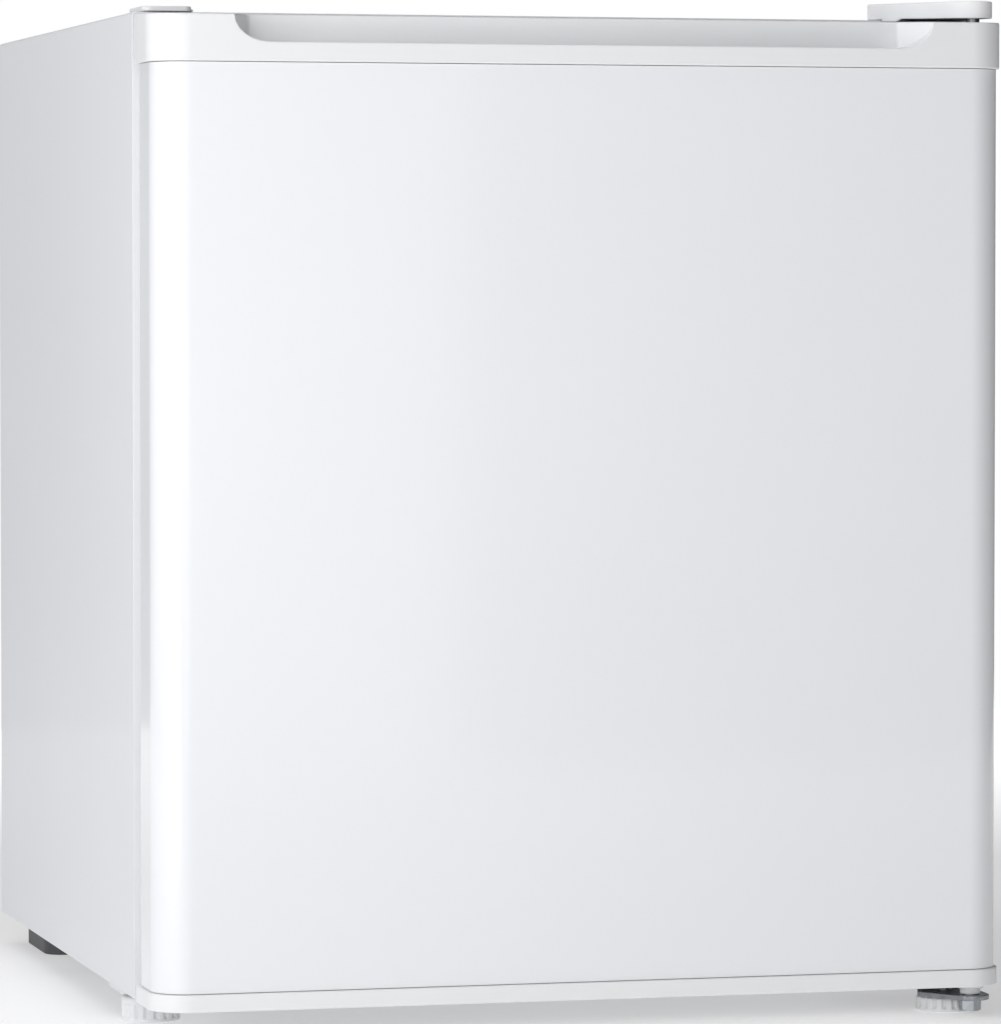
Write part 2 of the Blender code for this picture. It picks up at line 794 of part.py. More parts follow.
def make_screw(name, centre, head_low, length, material):
    """A pan-head screw, pointing down."""
    head = 0.0038
    shank = 0.0018
    profile = [
        (0, head_low - length),
        (shank, head_low - length),
        (shank, head_low),
        (head, head_low),
        (head * 0.85, head_low + 0.0012),
        (0, head_low + 0.0016),
    ]
    return make(name, turned(profile, centre, steps=12), material)


def make_upper_hinge(colours, shell, foam):
    """Steel plate on the cabinet's top with a pin that drops into the door, and its cover."""
    low = CABINET_TOP + GAP
    high = low + HINGE_PLATE
    plate_outline = [(0.1685, -0.176), (0.1820, -0.138), (0.2125, -0.138), (0.2140, -0.178)]
    nose = arc(HINGE_X - 0.0010, HINGE_Y, 0.0056, 0, -180, 8)
    plate = make("upper_hinge_plate", prism(plate_outline + nose, low, high), colours["steel"])
    drill(plate, (HINGE_X, HINGE_Y), PIN_RADIUS + GAP, low - 0.01, high + 0.01)
    pin = [
        (0, 0.4890),
        (PIN_RADIUS - 0.0005, 0.4890),
        (PIN_RADIUS, 0.4895),
        (PIN_RADIUS, high + GAP),
        (PIN_RADIUS + 0.001, high + GAP),
        (PIN_RADIUS + 0.0005, high + 0.0015),
        (0, high + 0.0015),
    ]
    make("upper_hinge_pin", turned(pin, (HINGE_X, HINGE_Y), steps=16), colours["steel"])
    for i, x in enumerate((0.183, 0.203)):
        centre = (x, -0.152)
        for obj in (plate, shell, foam):
            drill(obj, centre, 0.0022, CABINET_TOP - 0.012, high + 0.01)
        make_screw(f"upper_hinge_screw_{i + 1}", centre, high + GAP, 0.012, colours["steel"])
    make_hinge_cover(colours["white_plastic"])


def cover_outline():
    """Plan of the hinge cover: a slanted front that curves gently into a small round nose."""
    nose = 0.009
    bow = 0.042
    x = COVER_RIGHT - nose
    y = -0.2164
    turn = radians(-123)  # where the nose meets the bow
    bow_x = x + (nose - bow) * cos(turn)
    bow_y = y + (nose - bow) * sin(turn)
    front = arc(x, y, nose, 0, -123, 9) + arc(bow_x, bow_y, bow, -128, -142, 3)
    return [COVER_CORNER, COVER_BACK_LEFT, (COVER_RIGHT, COVER_BACK_LEFT[1])] + front


def make_hinge_cover(plastic):
    """A shell open below, whose front hangs lower than its back, with a slot over the door."""
    low = CABINET_TOP + GAP
    outline = cover_outline()[::-1]
    cover = make("hinge_cover", prism(outline, COVER_SKIRT, COVER_TOP), plastic)
    slot = [
        (FRONT, COVER_SKIRT - 0.001),
        (SKIN_BACK + 0.003, COVER_SKIRT - 0.001),
        (SKIN_BACK - 0.001, COVER_SKIRT + COVER_SLOT),
        (FRONT, COVER_SKIRT + COVER_SLOT * 0.2),
    ]
    cut(
        cover,
        box(0.15, HALF, CABINET_FRONT - 2 * GAP, 0, COVER_SKIRT - 0.01, low),
        prism(slot, 0.15, HALF, "X"),
        prism(shrunk(outline, COVER_WALL), COVER_SKIRT - 0.01, COVER_TOP - COVER_WALL),
    )


def make_blanking_cover(plastic):
    """Flat cover over the unused hinge position at the top left."""
    low = CABINET_TOP + GAP
    outline = rounded(-0.2150, -0.1850, -0.1900, -0.1480, (0.004, 0.004, 0.002, 0.002), 3)
    cover = make("blanking_cover", prism(outline, low, low + 0.0025), plastic)
    tab = rounded(-0.1950, -0.1800, -0.1885, -0.1530, (0, 0.001, 0.001, 0), 2)
    join(cover, prism(tab, low, low + 0.0012))
    return cover


def bracket_outline():
    """Plan of the lower bracket: a round nose under the door that widens over the foot."""
    nose = arc(HINGE_X, HINGE_Y, 0.0098, 0, -135, 10)
    left = [(0.1878, -0.1935), (0.1872, -0.1900), (0.1950, -0.1665), (0.1950, -0.1620)]
    left.append((0.1650, -0.1600))
    return [(0.1650, BRACKET_BACK), (0.2185, BRACKET_BACK), (0.2192, -0.180)] + nose + left


def make_lower_hinge(colours):
    """Stepped bracket under the cabinet's front right corner, with its pin and washer."""
    steel = colours["steel"]
    top = CABINET_BOTTOM - GAP
    line = [
        (-0.225, BRACKET_LOW),
        (BRACKET_STEP, BRACKET_LOW),
        (BRACKET_STEP, top - HINGE_PLATE),
        (BRACKET_BACK + 0.01, top - HINGE_PLATE),
    ]
    bracket = make("lower_hinge_bracket", prism(folded(line, HINGE_PLATE), 0.16, HALF, "X"), steel)
    keep(bracket, prism(bracket_outline(), 0, 0.03))
    drill(bracket, (HINGE_X, HINGE_Y), PIN_RADIUS + GAP, 0, 0.03)
    outline = rounded(-0.2185, -0.1430, -0.1650, -0.1030, (0.003, 0.003, 0.003, 0.003), 3)
    left = make("foot_bracket_left", prism(outline, top - HINGE_PLATE, top), steel)
    for plate, foot in ((left, FEET["left"]), (bracket, FEET["right"])):
        drill(plate, (foot["x"], foot["y"]), STUD_RADIUS + 0.0005, 0, 0.03)
    for centre in BRACKET_SCREWS:
        drill(bracket, centre, 0.0022, 0, 0.03)
    drill(left, LEFT_SCREW, 0.0022, 0, 0.03)
    make_hinge_bolt(steel)
    washer = turned(washer_profile(), (HINGE_X, HINGE_Y), steps=24)
    make("lower_hinge_washer", washer, colours["white_plastic"])


def washer_profile():
    """A flanged washer: a narrow collar on the bracket below the disc that carries the door."""
    bore = PIN_RADIUS + GAP
    low = BRACKET_LOW + HINGE_PLATE + GAP
    high = DOOR_BOTTOM - GAP
    return [
        (bore, low),
        (WASHER_COLLAR, low),
        (WASHER_COLLAR, high - WASHER_DISC),
        (WASHER_RADIUS, high - WASHER_DISC),
        (WASHER_RADIUS, high),
        (bore, high),
    ]


def make_hinge_bolt(steel):
    """Hexagon head under the bracket, and the shank that the door turns on."""
    across = 0.010
    corner = across / 2 / cos(radians(30))
    low = 0.0020
    high = BRACKET_LOW - GAP

    def hexagon(radius):
        return arc(HINGE_X, HINGE_Y, radius, 0, 300, 5)

    chamfer = 0.0008
    head = loft(
        [
            (hexagon(corner - chamfer), low),
            (hexagon(corner), low + chamfer),
            (hexagon(corner), high),
        ]
    )
    bolt = make("lower_hinge_pin", head, steel)
    join(bolt, rod((HINGE_X, HINGE_Y), PIN_RADIUS, low + 0.002, BOTTOM_JOINT - 0.0006))


# -------------------------------------------------------------------- feet


def fluted(x, y, radius):
    """A circle with shallow rounded flutes."""
    outline = []
    for i in range(FLUTES * 4):
        depth = (0.0, 0.035, 0.075, 0.035)[i % 4]
        angle = 2 * pi * i / (FLUTES * 4)
        r = radius * (1 - depth)
        outline.append((x + r * cos(angle), y + r * sin(angle)))
    return outline


def make_front_foot(name, foot, colours):
    """A fluted knob that turns on a threaded stud."""
    chamfer = 0.0012
    x, y, top = foot["x"], foot["y"], foot["knob_top"]
    knob = make(
        "foot_knob_" + name,
        loft(
            [
                (fluted(x, y, KNOB_RADIUS - chamfer), 0),
                (fluted(x, y, KNOB_RADIUS), chamfer),
                (fluted(x, y, KNOB_RADIUS), top - chamfer),
                (fluted(x, y, KNOB_RADIUS - chamfer), top),
            ]
        ),
        colours["white_plastic"],
    )
    drill(knob, (x, y), STUD_RADIUS + GAP, KNOB_FLOOR, 0.02)
    stud = make(
        "foot_stud_" + name,
        rod((x, y), STUD_RADIUS, KNOB_FLOOR + GAP, foot["stud_top"], sides=16),
        colours["steel"],
    )
    slide = hang("foot_travel_" + name, (x, y, 0), [stud])
    hang("foot_spin_" + name, (x, y, 0), [knob], slide)


def make_rear_feet(plastic):
    """Moulded blocks under the rear corners, rounded at their outer front edge."""
    for name, side in (("left", -1), ("right", 1)):
        edges = sorted((side * 0.205, side * 0.172))
        radii = (0.010, 0.002, 0.002, 0.002) if side < 0 else (0.002, 0.010, 0.002, 0.002)
        outline = rounded(edges[0], 0.1545, edges[1], CABINET_BACK, radii, 5)
        make("rear_foot_" + name, prism(outline, 0, CABINET_BOTTOM - GAP), plastic)


# ------------------------------------------------------------ cabin fittings


def make_freezer(colours):
    """Folded aluminium evaporator box, its front frame, the flap and the ceiling spacer."""
    wall = 0.0015
    evaporator = make(
        "evaporator_box",
        box(FREEZER_LEFT, FREEZER_RIGHT, FREEZER_FRONT, FREEZER_BACK, FREEZER_LOW, FREEZER_HIGH),
        colours["aluminium"],
    )
    cut(
        evaporator,
        box(
            FREEZER_LEFT + wall, FREEZER_RIGHT - wall, FREEZER_FRONT - 0.01, FREEZER_BACK - wall,
            FREEZER_LOW + wall, FREEZER_HIGH - wall,
        ),
    )
    make_freezer_frame(colours["white_plastic"])
    flap = make_flap(colours["clear_plastic"])
    hang("freezer_flap_axis", (-0.045, FLAP_Y, FLAP_Z), [flap])
    spacer = box(-0.150, 0.060, 0.040, 0.060, FREEZER_HIGH + GAP, CABIN_CEILING - GAP)
    make("evaporator_spacer", spacer, colours["white_plastic"])
    tube(
        "evaporator_pipe",
        [(0.060, FREEZER_BACK + GAP, 0.440), (0.060, CABIN_BACK - GAP, 0.440)],
        0.0035,
        colours["aluminium"],
    )


def make_freezer_frame(plastic):
    left = FREEZER_LEFT - 0.0045
    right = FREEZER_RIGHT + 0.0045
    back = FREEZER_FRONT - GAP
    front = back - 0.010
    outline = rounded(left, 0.3655, right, 0.4660, (0.003, 0.003, 0.003, 0.003), 3)
    frame = make("freezer_frame", prism(outline, front, back, "Y"), plastic)
    hole = rounded(left + 0.010, 0.3760, right - 0.010, 0.4535, (0.006, 0.006, 0.006, 0.006), 3)
    cut(frame, prism(hole, front - 0.01, back + 0.01, "Y"))
    for x0, x1 in ((left, left + 0.005), (right - 0.005, right)):
        ear = tool(box(x0, x1, FLAP_Y - 0.005, front + 0.001, FLAP_Z - 0.005, FLAP_Z + 0.005))
        join(frame, ear)
        cut(frame, rod((FLAP_Y, FLAP_Z), 0.0023, x0 - 0.01, x1 + 0.01, "X", 12))


def make_flap(plastic):
    """Freezer flap with a pull lip, hung on two pins at its top corners."""
    left = FREEZER_LEFT + 0.0015
    right = FREEZER_RIGHT - 0.0015
    front = FLAP_Y - 0.0015
    low = 0.3725
    outline = rounded(left, low, right, FLAP_Z + 0.0025, (0.005, 0.005, 0.001, 0.001), 3)
    flap = make("freezer_flap", prism(outline, front, front + 0.003, "Y"), plastic)
    lip = [
        (front + 0.001, low + 0.004),
        (front - 0.008, low + 0.006),
        (front - 0.008, low + 0.0085),
        (front + 0.001, low + 0.0085),
    ]
    join(flap, prism(lip, left + 0.075, right - 0.075, "X"))
    join(
        flap,
        rod((FLAP_Y, FLAP_Z), 0.0020, left - 0.0042, left + 0.002, "X", 12),
        rod((FLAP_Y, FLAP_Z), 0.0020, right - 0.002, right + 0.0042, "X", 12),
    )
    return flap


def make_thermostat(colours):
    """Control in a housing under the ceiling, turned by a dial on the housing's front."""
    low = 0.4120
    outline = rounded(0.0950, low, 0.1825, CABIN_CEILING - GAP, (0.006, 0.006, 0.009, 0), 3)
    housing = make(
        "thermostat_housing", prism(outline, HOUSING_FRONT, 0.080, "Y"), colours["white_plastic"]
    )
    inside = box(0.0970, 0.1805, HOUSING_FRONT + 0.002, 0.078, low + 0.002, CABIN_CEILING + 0.01)
    cut(housing, inside, rod((DIAL_X, DIAL_Z), 0.0036, HOUSING_FRONT - 0.01, 0, "Y", 12))
    control = box(DIAL_X - 0.015, DIAL_X + 0.015, HOUSING_FRONT + 0.0023, -0.010, 0.424, 0.456)
    body = make("thermostat", control, colours["galvanised"])
    join(body, rod((DIAL_X, DIAL_Z), 0.0030, DIAL_FRONT + 0.007, -0.040, "Y", 12))
    dial = make_dial(colours["white_plastic"])
    hang("thermostat_axis", (DIAL_X, DIAL_FRONT, DIAL_Z), [dial])


def make_dial(plastic):
    back = HOUSING_FRONT - GAP
    profile = [
        (0, back),
        (DIAL_RADIUS, back),
        (DIAL_RADIUS, back - 0.005),
        (DIAL_RADIUS - 0.0015, back - 0.007),
        (0, back - 0.007),
    ]
    dial = make("thermostat_knob", turned(profile, (DIAL_X, DIAL_Z), "Y", 32), plastic)
    grip = rounded(
        DIAL_X - 0.0035, DIAL_Z - 0.0145, DIAL_X + 0.0035, DIAL_Z + 0.0145, (0.0034,) * 4, 3
    )
    join(dial, prism(grip, DIAL_FRONT, back - 0.006, "Y"))
    cut(dial, rod((DIAL_X, DIAL_Z), 0.0033, DIAL_FRONT + 0.0065, back + 0.01, "Y", 12))
    return dial


def make_drip_tray(plastic):
    low = TRAY_RIB + GAP
    high = low + 0.020
    back = 0.162
    outline = rounded(-SHELF_HALF, SHELF_FRONT, SHELF_HALF, back, (0.006,) * 4, 3)
    tray = make("drip_tray", prism(outline, low, high), plastic)
    inner = rounded(
        -SHELF_HALF + 0.002, SHELF_FRONT + 0.002, SHELF_HALF - 0.002, back - 0.002, (0.004,) * 4, 3
    )
    cut(tray, prism(inner, low + 0.002, high + 0.01))
    # A rounded dip in the front wall gives the fingers a hold.
    dip = arc(0, high + 0.014, 0.020, 205, 335, 8)
    cut(tray, prism(dip, SHELF_FRONT - 0.01, SHELF_FRONT + 0.006, "Y"))
    hang("drip_tray_travel", (0, SHELF_FRONT, low), [tray])


def make_shelf(name, rib, back, colours):
    """A glass shelf on the liner's ribs, with a moulded trim along its front edge."""
    low = rib + GAP
    glass = make(
        f"shelf_{name}_glass",
        box(-SHELF_HALF, SHELF_HALF, SHELF_FRONT + 0.006, back, low, low + GLASS),
        colours["glass"],
    )
    outline = rounded(
        SHELF_FRONT, low - 0.003, SHELF_FRONT + 0.0115, low + GLASS + 0.003,
        (0.003, 0.001, 0.001, 0.003), 3,
    )
    trim = make(
        f"shelf_{name}_trim",
        prism(outline, -SHELF_HALF, SHELF_HALF, "X"),
        colours["white_plastic"],
    )
    groove = box(
        -HALF, HALF, SHELF_FRONT + 0.006 - GAP, SHELF_FRONT + 0.02, low - GAP, low + GLASS + GAP
    )
    cut(trim, groove)
    hang(f"shelf_{name}_travel", (0, SHELF_FRONT, low), [glass, trim])


# --------------------------------------------------------- cooling circuit


def make_compressor(colours):
    """Welded pot on four grommets, on a rail across the compressor bay."""
    black = colours["black_paint"]
    low = CABINET_BOTTOM + GAP
    line = [(0.088, low + 0.010), (0.088, low), (0.205, low), (0.205, low + 0.010)]
    rail = prism(folded(line, 0.0012), -PANEL_HALF, PANEL_HALF, "X")
    make("compressor_rail", rail, colours["galvanised"])
    r = POT_RADIUS
    profile = [
        (0, 0.0345),
        (r - 0.014, 0.0345),
        (r - 0.003, 0.044),
        (r, 0.058),
        (r, 0.086),
        (r + 0.0015, 0.087),
        (r + 0.0015, 0.091),
        (r, 0.092),
        (r - 0.002, 0.116),
        (r - 0.012, 0.137),
        (r - 0.032, 0.147),
        (0, 0.149),
    ]
    pot = make("compressor", turned(profile, (POT_X, POT_Y), steps=28), black)
    outline = rounded(POT_X - 0.062, POT_Y - 0.046, POT_X + 0.062, POT_Y + 0.046, (0.010,) * 4, 3)
    join(pot, prism(outline, 0.0323, 0.0348))
    for i, (across, along) in enumerate(((-1, -1), (1, -1), (-1, 1), (1, 1))):
        centre = (POT_X + across * 0.051, POT_Y + along * 0.036)
        foot_low = low + 0.0012 + GAP
        ring = [(0, foot_low), (0.008, foot_low), (0.0065, 0.026), (0.008, 0.032), (0, 0.032)]
        make(f"compressor_grommet_{i + 1}", turned(ring, centre, steps=12), colours["rubber"])
    right = POT_X - r - 0.002
    cover = loft(
        [
            (rounded(right - 0.028, 0.122, right, 0.169, (0.004, 0, 0, 0.004), 3), 0.072),
            (rounded(right - 0.028, 0.122, right, 0.169, (0.004, 0, 0, 0.004), 3), 0.118),
            (rounded(right - 0.025, 0.125, right, 0.166, (0.004, 0, 0, 0.004), 3), 0.123),
        ]
    )
    make("terminal_cover", cover, colours["dark_plastic"])
    gland_y = 0.1693
    gland = [(0.0035, gland_y), (0.007, gland_y), (0.007, gland_y + 0.003), (0.0055, gland_y + 0.004)]
    gland += [(0.0048, gland_y + 0.013), (0.0035, gland_y + 0.013)]
    make("mains_cable_gland", turned(gland, (right - 0.014, 0.092), "Y", 16), colours["dark_plastic"])


def condenser_corners():
    """Corners of the condenser's tube, from its lower right end up and then down to the drier."""
    corners = []
    side = 1
    for i in range(PASSES):
        z = CONDENSER_LOW + i * PASS_SPACING
        corners += [(side * CONDENSER_HALF, CONDENSER_Y, z), (-side * CONDENSER_HALF, CONDENSER_Y, z)]
        side = -side
    return corners


def make_condenser(colours):
    black = colours["black_paint"]
    corners = condenser_corners()
    top = corners[-1][2]
    outer = -CONDENSER_HALF - 0.017
    corners[-1] = (outer, CONDENSER_Y, top)
    corners.append((outer, CONDENSER_Y, 0.148))
    tube("condenser_tube", bent(corners, PASS_SPACING / 2 - 0.0002, 5), CONDENSER_TUBE, black, 1)
    y = CONDENSER_Y + CONDENSER_TUBE + GAP
    reach = WIRE_SPACING * (WIRES - 1) / 2 + WIRE / 2
    low = CONDENSER_LOW - 0.004
    grid = box(-reach, reach, y, y + WIRE, low, top + 0.004)
    wires = make("condenser_wires", grid, black)
    for i in range(WIRES - 1):
        x = -reach + WIRE + i * WIRE_SPACING
        cut(wires, box(x, x + WIRE_SPACING - WIRE, y - 0.01, y + 0.01, low + WIRE, top + 0.004 - WIRE))
    make_condenser_bracket("left", -0.156, colours["dark_plastic"])
    make_condenser_bracket("right", 0.156, colours["dark_plastic"])
    make_pipes(colours, outer)


def make_condenser_bracket(name, x, plastic):
    """An upright strip on the back panel with two clips that hold a pass of the tube each."""
    front = CABINET_BACK - SHEET + GAP
    heights = [CONDENSER_LOW + row * PASS_SPACING for row in CLIP_ROWS]
    strip = box(x - 0.006, x + 0.006, front, front + 0.0022, heights[0] - 0.02, heights[1] + 0.02)
    bracket = make("condenser_bracket_" + name, strip, plastic)
    for z in heights:
        outline = rounded(front, z - 0.009, BACK, z + 0.009, (0, 0.003, 0.003, 0), 2)
        join(bracket, prism(outline, x - 0.005, x + 0.005, "X"))
        hole = rod((CONDENSER_Y, z), CONDENSER_TUBE + GAP, x - 0.01, x + 0.01, "X", 12)
        cut(bracket, hole)


def make_pipes(colours, drier_x):
    copper = colours["copper"]
    drier = [
        (0, 0.0700),
        (0.0022, 0.0700),
        (0.0080, 0.0780),
        (0.0080, 0.1380),
        (0.0032, 0.1476),
        (0, 0.1476),
    ]
    make("filter_drier", turned(drier, (drier_x, CONDENSER_Y), steps=16), copper)

    def stub(angle, z, reach=0.0006):
        """A point just off the pot's wall, at an angle seen from above."""
        a = radians(angle)
        r = POT_RADIUS + reach
        return (POT_X + r * cos(a), POT_Y + r * sin(a), z)

    entry = BAY_TOP - GAP
    tube(
        "discharge_pipe",
        bent(
            [
                stub(50, 0.070),
                stub(50, 0.070, 0.018),
                (CONDENSER_HALF + 0.001, CONDENSER_Y, 0.085),
                (CONDENSER_HALF + 0.001, CONDENSER_Y, CONDENSER_LOW - 0.003),
            ],
            0.008,
        ),
        CONDENSER_TUBE,
        copper,
    )
    tube(
        "suction_pipe",
        bent(
            [
                stub(118, 0.072),
                stub(118, 0.072, 0.014),
                (0.020, 0.205, 0.130),
                (-0.030, 0.198, 0.150),
                (-0.030, 0.198, entry),
            ],
            0.007,
        ),
        0.0032,
        copper,
    )
    tube(
        "capillary_tube",
        bent(
            [
                (drier_x, CONDENSER_Y, 0.0697),
                (drier_x, CONDENSER_Y, 0.052),
                (-0.150, 0.205, 0.048),
                (-0.100, 0.198, 0.090),
                (-0.046, 0.198, 0.120),
                (-0.046, 0.198, entry),
            ],
            0.008,
        ),
        0.0011,
        copper,
        1,
    )


# --------------------------------------------------------------------- all


def clear_scene():
    for obj in list(bpy.data.objects):
        bpy.data.objects.remove(obj)


def main():
    clear_scene()
    colours = finishes()
    shell, plate, foam = make_cabinet(colours)
    make_door(colours)
    make_upper_hinge(colours, shell, foam)
    make_blanking_cover(colours["white_plastic"])
    make_lower_hinge(colours)
    for name, foot in FEET.items():
        make_front_foot(name, foot, colours)
    # The left foot's stud reaches up into the cabinet.
    for obj in (plate, foam):
        drill(obj, (FEET["left"]["x"], FEET["left"]["y"]), STUD_RADIUS + 0.0008, 0.01, 0.040)
    make_rear_feet(colours["dark_plastic"])
    make_freezer(colours)
    make_thermostat(colours)
    make_drip_tray(colours["clear_plastic"])
    make_shelf("upper", UPPER_SHELF_RIB, 0.165, colours)
    make_shelf("lower", LOWER_SHELF_RIB, STEP_FRONT - 0.0045, colours)
    make_compressor(colours)
    make_condenser(colours)


main()
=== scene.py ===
import json
from math import cos, hypot, pi, radians, sin, tan

import bmesh
import bpy
from mathutils import Matrix, Vector


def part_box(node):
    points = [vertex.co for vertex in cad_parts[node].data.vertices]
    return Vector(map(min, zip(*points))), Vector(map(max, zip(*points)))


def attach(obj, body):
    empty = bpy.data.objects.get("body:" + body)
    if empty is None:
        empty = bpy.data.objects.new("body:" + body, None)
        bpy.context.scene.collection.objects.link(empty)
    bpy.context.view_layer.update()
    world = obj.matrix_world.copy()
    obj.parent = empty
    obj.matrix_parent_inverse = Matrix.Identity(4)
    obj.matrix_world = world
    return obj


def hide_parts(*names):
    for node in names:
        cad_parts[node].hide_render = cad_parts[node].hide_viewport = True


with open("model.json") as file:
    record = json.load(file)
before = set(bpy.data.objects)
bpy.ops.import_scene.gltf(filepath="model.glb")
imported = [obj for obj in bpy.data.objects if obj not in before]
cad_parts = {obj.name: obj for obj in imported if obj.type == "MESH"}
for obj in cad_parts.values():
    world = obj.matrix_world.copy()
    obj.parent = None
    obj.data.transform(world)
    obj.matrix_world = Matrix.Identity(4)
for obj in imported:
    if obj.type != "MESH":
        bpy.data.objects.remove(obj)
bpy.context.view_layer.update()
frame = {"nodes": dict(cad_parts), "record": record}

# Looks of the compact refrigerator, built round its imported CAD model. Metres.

SCENE = bpy.context.scene
RECORD = frame["record"]
BODY_OF = {n: body for body, nodes in RECORD["behaviour"]["bodies"].items() for n in nodes}
SLOT_OF = {row["node"]: row["material_slot"] for row in RECORD["subparts"]}
MM = 0.001
SQUARE = ((-1, -1), (1, -1), (1, 1), (-1, 1))


# ------------------------------------------------------------------- studio


def make_camera():
    data = bpy.data.cameras.new("camera")
    data.lens = 197.2834
    data.sensor_width = 36
    data.shift_y = -0.05
    camera = bpy.data.objects.new("camera", data)
    camera.location = (-0.7396, -2.9156, 0.377)
    camera.rotation_euler = (radians(88.1185), 0, radians(-14.5151))
    SCENE.collection.objects.link(camera)
    SCENE.camera = camera


def make_softbox(name, azimuth, distance, height, size, power, aim=(0, 0, 0.25)):
    """A rectangular lamp, placed by its angle to the left of the door's middle."""
    data = bpy.data.lights.new(name, "AREA")
    data.shape = "RECTANGLE"
    data.size, data.size_y = size
    data.energy = power
    lamp = bpy.data.objects.new(name, data)
    angle = radians(azimuth)
    lamp.location = (-distance * sin(angle), -distance * cos(angle), height)
    lamp.rotation_euler = (Vector(aim) - lamp.location).to_track_quat("-Z", "Y").to_euler()
    lamp.visible_camera = False
    SCENE.collection.objects.link(lamp)


def make_world():
    """A white backdrop, and a soft light that is weaker from the right."""
    world = bpy.data.worlds.new("studio")
    world.use_nodes = True
    SCENE.world = world
    nodes = world.node_tree.nodes
    link = world.node_tree.links.new
    ambient = nodes["Background"]
    ambient.inputs["Color"].default_value = (0.96, 0.97, 1.0, 1)
    direction = nodes.new("ShaderNodeTexCoord").outputs["Generated"]
    split = nodes.new("ShaderNodeSeparateXYZ")
    link(direction, split.inputs[0])
    level = nodes.new("ShaderNodeMapRange")
    for socket, value in (("From Min", -1), ("From Max", 1), ("To Min", 0.55), ("To Max", 0.04)):
        level.inputs[socket].default_value = value
    link(split.outputs["X"], level.inputs["Value"])
    link(level.outputs[0], ambient.inputs["Strength"])
    backdrop = nodes.new("ShaderNodeBackground")
    backdrop.inputs["Color"].default_value = (1, 1, 1, 1)
    mix = nodes.new("ShaderNodeMixShader")
    link(nodes.new("ShaderNodeLightPath").outputs["Is Camera Ray"], mix.inputs[0])
    link(ambient.outputs[0], mix.inputs[1])
    link(backdrop.outputs[0], mix.inputs[2])
    link(mix.outputs[0], nodes["World Output"].inputs["Surface"])


def make_floor():
    """A pale floor with a painted glow, faint near the object and white far from it, standing in
    for a paper sweep lit by lamps.
    """
    reach = 1.7
    mesh = bpy.data.meshes.new("floor")
    corners = [(x * reach, y * reach, 0) for x, y in SQUARE]
    mesh.from_pydata(corners, [], [(0, 1, 2, 3)])
    floor = bpy.data.objects.new("floor", mesh)
    SCENE.collection.objects.link(floor)
    look = Finish("floor", (0.62, 0.62, 0.62), 0.75, Emission_Color=(1, 1, 1, 1))
    away = look.add("VectorMath", Vector=look.place)
    away.operation = "LENGTH"
    # Painted glow: the floor emits light itself, more the farther it lies from the object.
    glow = look.between(away.outputs["Value"], 0.7, 1.6, 0.4, 0.95)
    look.put(look.shader, Emission_Strength=glow)
    look.bump(look.noise(160, 3), 0.1 * MM)
    look.rough(look.noise(4, 3), 0.7, 0.82)
    mesh.materials.append(look.material)


def make_studio():
    SCENE.view_settings.view_transform = "Standard"
    make_camera()
    make_world()
    make_floor()
    make_softbox("key", 38, 1.2, 0.4, (0.34, 2.0), 4.6)
    make_softbox("strip", 55, 1.8, 0.35, (0.14, 1.6), 5.5)
    make_softbox("fill", 4, 2.5, 0.5, (1.4, 1.4), 9.5)
    make_softbox("top", 75, 1.0, 3.0, (1.6, 1.6), 20, (0, 0, 0))


# ---------------------------------------------------------------- materials


